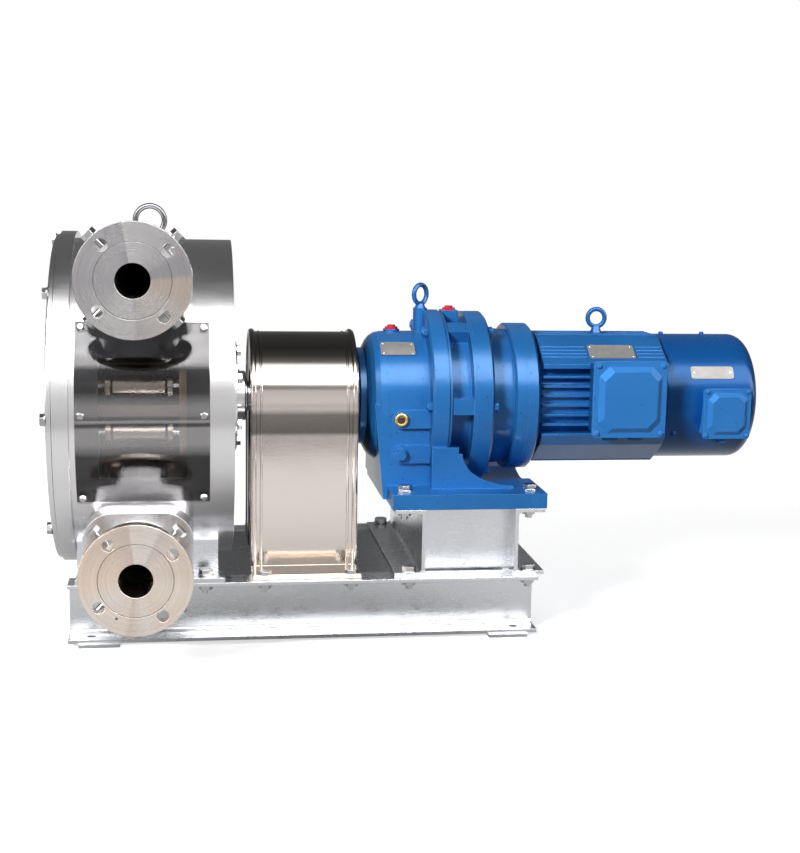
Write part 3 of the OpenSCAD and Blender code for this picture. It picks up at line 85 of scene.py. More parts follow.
class Finish:
    # Builds one material or world out of nodes
    def __init__(self, owner):
        owner.use_nodes = True
        self.owner, self.tree = owner, owner.node_tree
        self.tree.nodes.clear()

    def add(self, kind, settings=None, inputs=None, output=0):
        node = self.tree.nodes.new(kind)
        for key, value in (settings or {}).items():
            if key == "stops":
                stops = node.color_ramp.elements
                stops.remove(stops[-1])
                stops[0].position = value[0][0]
                for place, _ in value[1:]:
                    stops.new(place)
                for place, shade in value:
                    nearest = min(stops, key=lambda stop: abs(stop.position - place))
                    nearest.color = shade if isinstance(shade, tuple) else (shade, shade, shade, 1)
            else:
                setattr(node, key, value)
        for key, value in (inputs or {}).items():
            if isinstance(value, Wire):
                self.tree.links.new(value.socket, node.inputs[key])
            else:
                node.inputs[key].default_value = value
        return Wire(self, node.outputs[output]) if len(node.outputs) else None

    def place(self, scale=(1, 1, 1), centre=(0, 0, 0)):
        # Object coordinates from centre, stretched by scale
        spot = self.add("ShaderNodeTexCoord", output=3)
        moved = self.add("ShaderNodeVectorMath", {"operation": "SUBTRACT"}, {0: spot, 1: centre})
        return self.add("ShaderNodeVectorMath", {"operation": "MULTIPLY"}, {0: moved, 1: scale})

    def noise(self, size, detail=3, rough=0.5, scale=(1, 1, 1)):
        # The settings give a noise as (size, detail, rough, scale), without the last ones where these do
        return self.add("ShaderNodeTexNoise", None, {
            "Vector": self.place(scale), "Scale": size, "Detail": detail, "Roughness": rough})

    def ramp(self, value, *stops):
        return self.add("ShaderNodeValToRGB", {"stops": stops}, {"Fac": value})

    def blend(self, factor, first, second):
        # Colour between first and second
        return self.add("ShaderNodeMix", {"data_type": "RGBA"}, {0: factor, 6: first, 7: second}, 2)

    def times(self, first, second):
        # Colour first darkened by colour second
        return self.add("ShaderNodeMix", {"data_type": "RGBA", "blend_type": "MULTIPLY"}, {
            0: 1.0, 6: first, 7: second}, 2)

    def bump(self, height, strength, distance, normal=None):
        inputs = {"Height": height, "Strength": strength, "Distance": distance}
        if normal:
            inputs["Normal"] = normal
        return self.add("ShaderNodeBump", None, inputs)

    def rounded(self, radius):
        # Softens the light on sharp edges
        return self.add("ShaderNodeBevel", {"samples": edgeLook["samples"]}, {"Radius": radius})

    def edges(self, rounded):
        # 1 along sharp edges, 0 on flat faces
        straight = self.add("ShaderNodeNewGeometry", output=1)
        facing = self.add("ShaderNodeVectorMath", {"operation": "DOT_PRODUCT"}, {0: rounded, 1: straight}, 1)
        return self.ramp(1 - facing, *edgeLook["edgeHighlight"])

    def angle(self, across, along):
        # Turn from 0 to 1 of the direction (across, along), starting opposite to across
        turned = self.add("ShaderNodeMath", {"operation": "ARCTAN2"}, {0: along, 1: across})
        return turned * (0.5 / math.pi) + 0.5

    def mixed(self, factor, first, second):
        # Shader between first and second
        return self.add("ShaderNodeMixShader", None, {0: factor, 1: first, 2: second})

    def part(self, vector, index):
        # One number of a vector: 0 is X, 1 is Y, 2 is Z
        return self.add("ShaderNodeSeparateXYZ", None, {0: vector}, index)

    def reach(self, scale, centre):
        # Length of the place from centre, counted along the axes that scale keeps
        return self.add("ShaderNodeVectorMath", {"operation": "LENGTH"}, {0: self.place(scale, centre)}, 1)

    def surface(self, **sockets):
        # Underscores stand for the spaces in socket names
        names = {key.replace("_", " "): value for key, value in sockets.items()}
        shader = self.add("ShaderNodeBsdfPrincipled", None, names)
        self.add("ShaderNodeOutputMaterial", None, {"Surface": shader})
        return self.owner


def opaque(colour, share=1):
    # Colour scaled by share, with full alpha
    return (*(part * share for part in colour), 1)


def newFinish(name):
    return Finish(bpy.data.materials.new(name))


def radiusFrom(finish, centre, axis):
    # Distance from a line through centre along the named axis
    flat = {"X": (0, 1, 1), "Y": (1, 0, 1), "Z": (1, 1, 0)}[axis]
    return finish.reach(flat, centre)


# Metals: cloudy tint, stretched grain, smears, slow waves
metalSkin = {
    "cloud": (7, 3), "grain": (9, 5, 0.62), "smear": (16, 4, 0.6), "wave": (9, 1),
    "smearStops": ((0.38, 0), (0.72, 1)), "smearShare": 0.4, "fineStrength": 0.12, "fineDepth": 0.0002,
    "waveStrength": 0.35, "stainRough": 0.2,
}
steelLook = {
    "drum": {"colour": (0.74, 0.73, 0.735), "tint": (0.66, 0.65, 0.66), "rough": 0.22, "spread": 0.10,
             "grain": (3, 60, 60), "wave": 0.0016,
             # Painted shade inside the drum: dark within a radius and half a length round the middle
             "inside": {"middle": onShaft(8, 0, 0), "radius": 0.2555, "radiusStops": ((0.99, 1), (1.0, 0)),
                        "half": 0.124, "halfStops": ((0.985, 1), (1.0, 0)), "colour": (0.085, 0.062, 0.05)}},
    "base": {"colour": (0.70, 0.71, 0.73), "tint": (0.58, 0.59, 0.61), "rough": 0.26, "spread": 0.16,
             "grain": (4, 90, 90), "wave": 0.0008},
    "guard": {"colour": (0.76, 0.70, 0.65), "tint": (0.70, 0.63, 0.57), "rough": 0.10, "spread": 0.07,
              "grain": (6, 70, 70), "wave": 0.0014,
              # Painted reflection: darker and lighter bands by height over the shaft, millimetres
              "bandLow": -290, "bandHigh": 115,
              "bands": ((-270, 0.85), (-158, 1.0), (-52, 1.0), (-46, 0.32), (-17, 0.34), (-8, 0.95), (22, 0.95),
                        (27, 0.34), (39, 0.28), (42, 0.9), (47, 0.9), (52, 0.24), (70, 0.16), (98, 0.24))},
    "eye": {"colour": (0.17, 0.17, 0.175), "tint": (0.12, 0.12, 0.125), "rough": 0.26, "spread": 0.14,
            "grain": (60, 60, 60), "wave": 0.0004},
    "bolt": {"colour": (0.56, 0.56, 0.56), "tint": (0.40, 0.40, 0.40), "rough": 0.2, "spread": 0.16,
             "grain": (90, 90, 90), "wave": 0.0004},
    "bright": {"colour": (0.62, 0.62, 0.63), "tint": (0.5, 0.5, 0.51), "rough": 0.16, "spread": 0.12,
               "grain": (4, 80, 80), "wave": 0.0003},
    # Rollers: bright steel darkened, a painted shade of the closed drum
    "roller": {"colour": (0.30, 0.26, 0.23), "tint": (0.20, 0.17, 0.15), "rough": 0.24, "spread": 0.14,
               "grain": (6, 60, 60), "wave": 0.0004},
    "rotor": {"colour": (0.16, 0.115, 0.085), "tint": (0.10, 0.07, 0.055), "rough": 0.32, "spread": 0.2,
              "grain": (30, 30, 30), "wave": 0.0006},
    "disc": {"colour": (0.42, 0.37, 0.29), "tint": (0.32, 0.28, 0.22), "rough": 0.3, "spread": 0.15,
             "grain": (50, 50, 50), "wave": 0.0003},
    "brass": {"colour": (0.72, 0.5, 0.2), "tint": (0.5, 0.34, 0.14), "rough": 0.24, "spread": 0.16,
              "grain": (80, 80, 80), "wave": 0.0003},
    "copper": {"colour": (0.5, 0.2, 0.09), "tint": (0.36, 0.13, 0.06), "rough": 0.36, "spread": 0.14,
               "grain": (10, 160, 160), "wave": 0.0006},
}


def steelFinish(name, key):
    look = steelLook[key]
    f = newFinish(name)
    skin = metalSkin
    cloud = f.noise(*skin["cloud"])
    grain = f.noise(*skin["grain"], look["grain"])
    smear = f.ramp(f.noise(*skin["smear"]), *skin["smearStops"])
    colour = f.blend(cloud, opaque(look["colour"]), opaque(look["tint"]))
    rough = (grain - 0.5) * look["spread"] + (smear * look["spread"] * skin["smearShare"] + look["rough"])
    # Painted shade: the inside of the drum darkened and made rougher
    if "inside" in look:
        inside = look["inside"]
        near = f.ramp(radiusFrom(f, inside["middle"], "X") * (1 / inside["radius"]), *inside["radiusStops"])
        stain = near * f.ramp(f.reach((1, 0, 0), inside["middle"]) * (1 / inside["half"]), *inside["halfStops"])
        colour = f.blend(stain, colour, opaque(inside["colour"]))
        rough = rough + stain * skin["stainRough"]
    # Painted reflection: the colour darkened in bands by height over the shaft
    if "bands" in look:
        low, high = look["bandLow"], look["bandHigh"]
        height = f.part(f.place((1, 1, 1), onShaft(0, 0, low)), 2)
        stops = [((place - low) / (high - low), value) for place, value in look["bands"]]
        colour = f.times(colour, f.ramp(height * (1000 / (high - low)), *stops))
    fine = f.bump(grain, skin["fineStrength"], skin["fineDepth"], f.rounded(edgeLook["soft"]))
    slow = f.bump(f.noise(*skin["wave"]), skin["waveStrength"], look["wave"], fine)
    return f.surface(Base_Color=colour, Metallic=1.0, Roughness=rough, Normal=slow)


# A face turned on a lathe: fine rings, turned bands, light and dark sectors of painted reflection, the joint of the
# insert
turnedLook = {
    "rough": 0.26, "bandSpread": 0.14, "mottleSpread": 0.12, "ringStep": 0.0011, "ringHeight": 0.5,
    "bandStep": 0.011, "bandDetail": 4, "bandRough": 0.7, "bandStops": ((0.3, 0), (0.7, 1)), "mottle": (26, 3),
    "bumpStrength": 0.22, "bumpDepth": 0.00025, "jitter": 0.02,
    "groove": {"half": 0.0007, "stops": ((0.35, 1), (1.0, 0)), "cover": 0.85, "colour": (0.05, 0.045, 0.045),
               "depth": 4},
    "mark": {"radius": 0.0025, "stops": ((0.62, 1), (0.9, 0)), "cover": 0.9, "colour": (0.06, 0.045, 0.04)},
}


def turnedFinish(name, face):
    look = turnedLook
    f = newFinish(name)
    radius = radiusFrom(f, face["centre"], face["axis"])
    rings = f.add("ShaderNodeMath", {"operation": "SINE"}, {0: radius * (2 * math.pi / look["ringStep"])})
    band = f.add("ShaderNodeTexNoise", {"noise_dimensions": "1D"}, {
        "W": radius * (1 / look["bandStep"]), "Scale": 1, "Detail": look["bandDetail"],
        "Roughness": look["bandRough"]})
    mottle = f.noise(*look["mottle"])
    shade = f.blend(f.ramp(band, *look["bandStops"]), opaque(face["colour"]), opaque(face["tint"]))
    height = rings * look["ringHeight"] + band
    # Painted reflection: light and dark sectors round the turned face
    if "reflectionSectors" in face:
        spot = f.place((1, 1, 1), face["centre"])
        turn = f.angle(f.part(spot, 0), f.part(spot, 2)) + (mottle - 0.5) * look["jitter"]
        shade = f.times(shade, f.ramp(turn, *face["reflectionSectors"]))
    if "groove" in face:
        cut = look["groove"]
        away = f.add("ShaderNodeMath", {"operation": "ABSOLUTE"}, {0: radius - face["groove"]})
        line = f.ramp(away * (1 / cut["half"]), *cut["stops"])
        shade = f.blend(line * cut["cover"], shade, opaque(cut["colour"]))
        height = height - line * cut["depth"]
    if "mark" in face:
        dot = look["mark"]
        spot = f.ramp(radiusFrom(f, face["mark"], face["axis"]) * (1 / dot["radius"]), *dot["stops"])
        shade = f.blend(spot * dot["cover"], shade, opaque(dot["colour"]))
    rough = (band - 0.5) * look["bandSpread"] + ((mottle - 0.5) * look["mottleSpread"] + look["rough"])
    bumps = f.bump(height, look["bumpStrength"], look["bumpDepth"], f.rounded(edgeLook["soft"]))
    return f.surface(Base_Color=shade, Metallic=1.0, Roughness=rough, Normal=bumps)


# Enamel on castings: orange peel, slow shade changes, small pits, paler edges that are a painted highlight
enamelSkin = {
    "cloud": (11, 3), "peel": (420, 2, 0.5), "lumps": (75, 4, 0.6), "pits": (190, 1, 0.4),
    "pitStops": ((0.70, 0), (0.76, 1)), "pitCover": 0.45, "pitShade": 0.35,
    "turnedStops": ((0.35, 0), (0.95, 1)), "turnedShade": 0.3,
    "edgeRadius": 0.0016, "edgeHighlightStops": ((0.35, 0.2), (0.65, 1)), "edgeHighlightCover": 0.6, "edgeHighlightGain": 1.5,
    "edgeHighlightLift": 0.09, "lumpSpread": 0.12, "pitRough": 0.2, "pitHeight": 0.6, "peelShare": 0.35, "peelDepth": 0.0003,
    "lumpDepth": 0.0006, "coatRough": 0.14,
}
blueSheen = (0.40, 0.66, 1.0)
paintLook = {
    "drive": {"colour": (0.026, 0.195, 0.530), "deep": (0.011, 0.110, 0.350), "rough": 0.30, "peel": 0.5,
              "coat": 0.15, "sheen": blueSheen, "turned": 0.8},
    "cover": {"colour": (0.040, 0.225, 0.600), "deep": (0.026, 0.175, 0.500), "rough": 0.46, "peel": 0.3,
              "coat": 0.0, "sheen": blueSheen},
    "cowl": {"colour": (0.008, 0.115, 0.400), "deep": (0.004, 0.075, 0.290), "rough": 0.24, "peel": 0.2,
             "coat": 0.0, "sheen": blueSheen, "shine": 0.3},
    "black": {"colour": (0.022, 0.022, 0.025), "deep": (0.012, 0.012, 0.014), "rough": 0.28, "peel": 0.3,
              "coat": 0.4},
    "grey": {"colour": (0.16, 0.17, 0.18), "deep": (0.10, 0.105, 0.11), "rough": 0.42, "peel": 0.4, "coat": 0.2},
}


def paintFinish(name, key):
    look = paintLook[key]
    f = newFinish(name)
    skin = enamelSkin
    cloud = f.noise(*skin["cloud"])
    peel = f.noise(*skin["peel"])
    lumps = f.noise(*skin["lumps"])
    pits = f.ramp(f.noise(*skin["pits"]), *skin["pitStops"])
    colour = f.blend(cloud, opaque(look["colour"]), opaque(look["deep"]))
    colour = f.blend(pits * skin["pitCover"], colour, opaque(look["deep"], skin["pitShade"]))
    if "turned" in look:
        # Painted shade: darker where a face looks along the shaft
        along = f.part(f.add("ShaderNodeNewGeometry", output=1), 0)
        facing = f.add("ShaderNodeMath", {"operation": "ABSOLUTE"}, {0: along})
        shade = f.ramp(facing, *skin["turnedStops"]) * look["turned"]
        colour = f.blend(shade, colour, opaque(look["deep"], skin["turnedShade"]))
    soft = f.rounded(skin["edgeRadius"])
    # Painted highlight: paler colour in patches along sharp edges
    edgeHighlight = f.edges(soft) * f.ramp(lumps, *skin["edgeHighlightStops"])
    highlightColour = tuple(min(1, c * skin["edgeHighlightGain"] + skin["edgeHighlightLift"]) for c in look["colour"])
    colour = f.blend(edgeHighlight * skin["edgeHighlightCover"], colour, opaque(highlightColour))
    rough = (lumps - 0.5) * skin["lumpSpread"] + (pits * skin["pitRough"] + look["rough"])
    fine = f.bump(peel, look["peel"] * skin["peelShare"], skin["peelDepth"], soft)
    bumps = f.bump(lumps - pits * skin["pitHeight"], look["peel"], skin["lumpDepth"], fine)
    return f.surface(Base_Color=colour, Metallic=0.0, Roughness=rough, Coat_Weight=look["coat"],
                     Coat_Roughness=skin["coatRough"], Specular_Tint=opaque(look.get("sheen", (1, 1, 1))),
                     Specular_IOR_Level=look.get("shine", 0.5), Normal=bumps)


# Rubber and plastics
softSkin = {"detail": 4, "grain": 0.6, "spread": 0.2, "bumpStrength": 0.25, "bumpDepth": 0.0004}
softLook = {
    "rubber": {"colour": (0.022, 0.022, 0.024), "pale": (0.05, 0.049, 0.048), "rough": 0.58, "size": 140},
    "gasket": {"colour": (0.004, 0.004, 0.005), "pale": (0.009, 0.009, 0.010), "rough": 0.5, "size": 160,
               "shine": 0.1},
    "redCap": {"colour": (0.62, 0.035, 0.06), "pale": (0.48, 0.02, 0.04), "rough": 0.3, "size": 80},
    "sight": {"colour": (0.035, 0.02, 0.012), "pale": (0.06, 0.035, 0.02), "rough": 0.12, "size": 90},
    "spider": {"colour": (0.45, 0.04, 0.03), "pale": (0.36, 0.03, 0.02), "rough": 0.48, "size": 60},
    "fan": {"colour": (0.03, 0.03, 0.033), "pale": (0.05, 0.05, 0.052), "rough": 0.42, "size": 110},
}


def softFinish(name, key):
    look = softLook[key]
    f = newFinish(name)
    mottle = f.noise(look["size"], softSkin["detail"], softSkin["grain"])
    colour = f.blend(mottle, opaque(look["colour"]), opaque(look["pale"]))
    rough = (mottle - 0.5) * softSkin["spread"] + look["rough"]
    return f.surface(Base_Color=colour, Roughness=rough, Specular_IOR_Level=look.get("shine", 0.5),
                     Normal=f.bump(mottle, softSkin["bumpStrength"], softSkin["bumpDepth"]))


# Glossy clear sheet of the window: it mirrors, with faint smears and a hazy band across its middle
paneLook = {
    "tint": (0.80, 0.78, 0.79), "rough": 0.025, "smearRough": 0.08, "sheet": 0.012, "smear": 0.02,
    "smearNoise": (14, 4, 0.6, (1, 1, 3)), "smearStops": ((0.45, 0), (0.8, 1)), "grazing": 0.30, "ior": 1.45,
    "haze": 0.17, "hazeMiddle": onShaft(0, 0, -8), "hazeReach": 0.052, "hazeStops": ((0.55, 1), (0.95, 0)),
    "waveNoise": (6, 1), "waveStrength": 0.2, "waveDepth": 0.0012,
}


def paneFinish(name):
    look = paneLook
    f = newFinish(name)
    smear = f.ramp(f.noise(*look["smearNoise"]), *look["smearStops"])
    grazing = f.add("ShaderNodeFresnel", None, {"IOR": look["ior"]})
    haze = f.ramp(f.reach((0, 0, 1), look["hazeMiddle"]) * (1 / look["hazeReach"]), *look["hazeStops"])
    seen = smear * look["smear"] + (grazing * look["grazing"] + look["sheet"]) + haze * look["haze"]
    return f.surface(Base_Color=opaque(look["tint"]), Metallic=1.0, Alpha=seen,
                     Roughness=smear * look["smearRough"] + look["rough"],
                     Normal=f.bump(f.noise(*look["waveNoise"]), look["waveStrength"], look["waveDepth"]))


# Stamped bare plate, scuffed and brushed along its length
plateLook = {
    "colour": (0.34, 0.33, 0.32), "tint": (0.20, 0.195, 0.19), "metal": 0.2, "rough": 0.46, "brushSpread": 0.2,
    "scuffRough": 0.1, "scuffNoise": (90, 5, 0.7), "brushNoise": (60, 3, 0.6, (1, 14, 14)), "bumpStrength": 0.2,
    "bumpDepth": 0.0003,
}


def plateFinish(name):
    look = plateLook
    f = newFinish(name)
    scuff = f.noise(*look["scuffNoise"])
    brush = f.noise(*look["brushNoise"])
    colour = f.blend(scuff, opaque(look["colour"]), opaque(look["tint"]))
    rough = (brush - 0.5) * look["brushSpread"] + (scuff * look["scuffRough"] + look["rough"])
    return f.surface(Base_Color=colour, Metallic=look["metal"], Roughness=rough,
                     Normal=f.bump(brush + scuff, look["bumpStrength"], look["bumpDepth"]))


def sector(degrees, *colour):
    # Stop of the painted reflection round a flange, counted anticlockwise from the right
    return ((degrees + 180) % 360 / 360, (*colour, 1))


# Shades of the sectors of painted reflection
pale, mid, dim = (1, 1, 1), (0.84, 0.83, 0.85), (0.70, 0.69, 0.72)
insertRadius = 0.0542
# Turned faces: where they are centred, their steel tinted with painted reflection, the joint of the insert, a tack
# mark, sectors of painted reflection
turnedFaces = {
    "upperFlangeSteel": {
        "centre": onShaft(0, 0, 214.6), "axis": "Y", "colour": (0.62, 0.605, 0.60), "tint": (0.52, 0.505, 0.505),
        "groove": insertRadius,
        "reflectionSectors": (sector(180, 0.76, 0.75, 0.79), sector(206, *mid), sector(235, *pale), sector(268, *pale),
                    sector(274, 0.88, 0.87, 0.87), sector(300, 1.0, 0.97, 0.93), sector(332, 1.0, 0.93, 0.86),
                    sector(342, 1.0, 0.88, 0.77), sector(2, 0.96, 0.83, 0.73), sector(8, *dim), sector(24, *dim),
                    sector(40, *mid), sector(62, 0.94, 0.94, 0.96), sector(100, *pale), sector(103, *dim),
                    sector(125, 0.80, 0.79, 0.82), sector(150, *mid), sector(179.5, 0.76, 0.75, 0.79))},
    "lowerFlangeSteel": {
        "centre": onShaft(0, 0, -214.6), "axis": "Y", "colour": (0.80, 0.73, 0.68), "tint": (0.70, 0.635, 0.59),
        "groove": insertRadius, "mark": onShaft(-27.9, 0, -269.6),
        "reflectionSectors": (sector(180, 1.0, 0.90, 0.80), sector(215, *pale), sector(256, 1.0, 0.95, 0.90),
                    sector(262, 0.9, 0.82, 0.78), sector(282, *pale), sector(300, 1.0, 0.94, 0.88),
                    sector(345, 1.0, 0.97, 0.92), sector(10, 0.92, 0.86, 0.80), sector(40, 0.95, 0.9, 0.86),
                    sector(62, *mid), sector(66, *pale), sector(94, *pale), sector(98, 0.84, 0.77, 0.74),
                    sector(125, 0.92, 0.85, 0.78), sector(179.5, 1.0, 0.90, 0.80))},
    "coverSteel": {
        "centre": onShaft(0, 0, 0), "axis": "X", "colour": (0.72, 0.715, 0.72), "tint": (0.64, 0.635, 0.645)},
}
finishes = {
    "drumSteel": steelFinish("drumSteel", "drum"),
    "baseSteel": steelFinish("baseSteel", "base"),
    "guardSteel": steelFinish("guardSteel", "guard"),
    "boltSteel": steelFinish("boltSteel", "bolt"),
    "eyeSteel": steelFinish("eyeSteel", "eye"),
    "brightSteel": steelFinish("brightSteel", "bright"),
    "rotorIron": steelFinish("rotorIron", "rotor"),
    "shadedRollerSteel": steelFinish("shadedRollerSteel", "roller"),
    "discSteel": steelFinish("discSteel", "disc"),
    "sightBrass": steelFinish("sightBrass", "brass"),
    "windingCopper": steelFinish("windingCopper", "copper"),
    **{name: turnedFinish(name, face) for name, face in turnedFaces.items()},
    "driveBlue": paintFinish("driveBlue", "drive"),
    "coverBlue": paintFinish("coverBlue", "cover"),
    "cowlBlue": paintFinish("cowlBlue", "cowl"),
    "guardBlack": paintFinish("guardBlack", "black"),
    "couplingGrey": paintFinish("couplingGrey", "grey"),
    "hoseRubber": softFinish("hoseRubber", "rubber"),
    "gasketRubber": softFinish("gasketRubber", "gasket"),
    "capRed": softFinish("capRed", "redCap"),
    "spiderRed": softFinish("spiderRed", "spider"),
    "sightDark": softFinish("sightDark", "sight"),
    "fanPlastic": softFinish("fanPlastic", "fan"),
    "windowClear": paneFinish("windowClear"),
    "barePlate": plateFinish("barePlate"),
}
print("finishes made:", len(finishes))

dressing = {
    "baseSteel": ["base_channel_front", "base_channel_rear", "base_cross_members", "base_pads",
                  "drum_feet", "pedestal"],
    "boltSteel": ["frame_bolts", "drum_bolts", "window_screws", "port_clamp_bolts"],
    "eyeSteel": ["drum_eye_bolt"],
    "drumSteel": ["drum_shell", "upper_port_body", "lower_port_body", "bearing_housing"],
    "coverSteel": ["front_cover"],
    "gasketRubber": ["drum_seals", "window_gasket"],
    "hoseRubber": ["pump_hose"],
    "windowClear": ["window_pane"],
    "upperFlangeSteel": ["upper_port_flange", "upper_hose_insert"],
    "lowerFlangeSteel": ["lower_port_flange", "lower_hose_insert"],
    "brightSteel": ["rotor_shaft", "roller_axles", "shaft_bearings", "output_shaft", "ring_gear_pins",
                    "motor_rotor"],
    "shadedRollerSteel": ["press_roller_upper", "press_roller_lower", "guide_roller_1", "guide_roller_2",
                    "guide_roller_3", "guide_roller_4"],
    "rotorIron": ["rotor_frame"],
    "couplingGrey": ["coupling_hub_pump", "coupling_hub_gear"],
    "spiderRed": ["coupling_spider"],
    "guardSteel": ["coupling_guard"],
    "guardBlack": ["guard_end_plates", "fan_motor"],
    "driveBlue": ["reducer_housing", "output_cover", "ring_gear_housing", "motor_adapter", "reducer_bolts",
                  "drive_eye_bolts", "motor_frame", "terminal_box"],
    "coverBlue": ["terminal_box_cover", "fan_terminal_box"],
    "cowlBlue": ["fan_cowl"],
    "discSteel": ["cycloid_disc_front", "cycloid_disc_rear"],
    "capRed": ["breather_plugs"],
    "sightBrass": ["oil_sight"],
    "windingCopper": ["motor_stator"],
    "fanPlastic": ["cooling_fan"],
}
for finishName, nodeNames in dressing.items():
    for nodeName in nodeNames:
        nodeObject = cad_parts[nodeName]
        if not nodeObject.material_slots:
            nodeObject.data.materials.append(finishes[finishName])
        for held in nodeObject.material_slots:
            held.material = finishes[finishName]
print("nodes dressed:", sum(len(names) for names in dressing.values()))


def addPiece(name, mesh, finish, body, slotName):
    # Puts a mesh in the scene with its finish and body; slotName is not used
    piece = bpy.data.objects.new(name, mesh)
    scene.collection.objects.link(piece)
    mesh.materials.clear()
    mesh.materials.append(finishes[finish])
    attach(piece, body)
    return piece


# Degrees from which a corner stays sharp
sharpAngle = 38


def meshFrom(shape, name, smooth=True):
    # Turns a bmesh into a mesh, smooth except at sharp corners
    mesh = bpy.data.meshes.new(name)
    shape.to_mesh(mesh)
    shape.free()
    for face in mesh.polygons:
        face.use_smooth = smooth
    if smooth:
        mesh.set_sharp_from_angle(angle=math.radians(sharpAngle))
    return mesh


def lathe(name, profile, centre, way, finish, slotName, sides=48):
    # Turns (radius, height) pairs round a line through centre along way, closed at both ends
    turned = bmesh.new()
    turn = Vector(way).to_track_quat("Z", "Y").to_matrix()
    angles = [2 * math.pi * k / sides for k in range(sides)]
    rings = [[turned.verts.new(centre + turn @ Vector((radius * math.cos(a), radius * math.sin(a), height)))
              for a in angles] for radius, height in profile]
    for lower, upper in zip(rings, rings[1:]):
        for k in range(sides):
            turned.faces.new((lower[k], lower[(k + 1) % sides], upper[(k + 1) % sides], upper[k]))
    turned.faces.new(rings[0])
    turned.faces.new(rings[-1])
    bmesh.ops.recalc_face_normals(turned, faces=turned.faces)
    return addPiece(name, meshFrom(turned, name), finish, "frame", slotName)


class Tree:
    # A Geometry Nodes group with named inputs
    def __init__(self, name, inputs):
        self.group = bpy.data.node_groups.new(name, "GeometryNodeTree")
        self.group.is_modifier = True
        face = self.group.interface
        face.new_socket("Geometry", in_out="OUTPUT", socket_type="NodeSocketGeometry")
        face.new_socket("Geometry", in_out="INPUT", socket_type="NodeSocketGeometry")
        self.keys = {}
        for key, (kind, start) in {**inputs, "Finish": ("Material", None)}.items():
            item = face.new_socket(key, in_out="INPUT", socket_type="NodeSocket" + kind)
            if start is not None:
                item.default_value = start
            self.keys[key] = item.identifier
        self.entry = self.group.nodes.new("NodeGroupInput")
        self.exit = self.group.nodes.new("NodeGroupOutput")

    def given(self, key):
        return self.entry.outputs[key]

    def add(self, kind, settings=None, inputs=None):
        node = self.group.nodes.new(kind)
        for key, value in (settings or {}).items():
            setattr(node, key, value)
        for key, value in (inputs or {}).items():
            given = value if isinstance(value, list) else [value]
            if isinstance(given[0], bpy.types.NodeSocket):
                for socket in given:
                    self.group.links.new(socket, node.inputs[key])
            else:
                node.inputs[key].default_value = value
        return node.outputs[0]

    def close(self, geometry, rounded=False):
        # Realizes the instances and sets the material
        real = self.add("GeometryNodeRealizeInstances", None, {0: geometry})
        smooth = self.add("GeometryNodeSetShadeSmooth", None, {0: real, "Shade Smooth": rounded})
        done = self.add("GeometryNodeSetMaterial", None, {0: smooth, "Material": self.given("Finish")})
        self.group.links.new(done, self.exit.inputs[0])


def grow(name, tree, mesh, values, finish, body, slotName):
    # Runs a tree on a mesh and keeps the result as a plain mesh piece
    host = bpy.data.objects.new(name + "Host", mesh)
    scene.collection.objects.link(host)
    modifier = host.modifiers.new("grow", "NODES")
    modifier.node_group = tree.group
    for key, value in values.items():
        modifier[tree.keys[key]] = value
    modifier[tree.keys["Finish"]] = finishes[finish]
    bpy.context.view_layer.update()
    made = bpy.data.meshes.new_from_object(host.evaluated_get(bpy.context.evaluated_depsgraph_get()))
    host.modifiers.remove(modifier)
    bpy.data.objects.remove(host)
    made.name = name
    return addPiece(name, made, finish, body, slotName)


def pointsWith(places):
    # A mesh of single points, each with the way it faces
    mesh = bpy.data.meshes.new("places")
    mesh.from_pydata([tuple(point) for point, _ in places], [], [])
    facing = mesh.attributes.new("facing", "FLOAT_VECTOR", "POINT")
    facing.data.foreach_set("vector", [value for _, way in places for value in Vector(way).normalized()])
    return mesh


# A screw head: low cylinder, bevelled top, washer, hexagon socket
headShape = {"shoulder": 0.72, "socketDepth": 0.0003, "socketSides": 6}


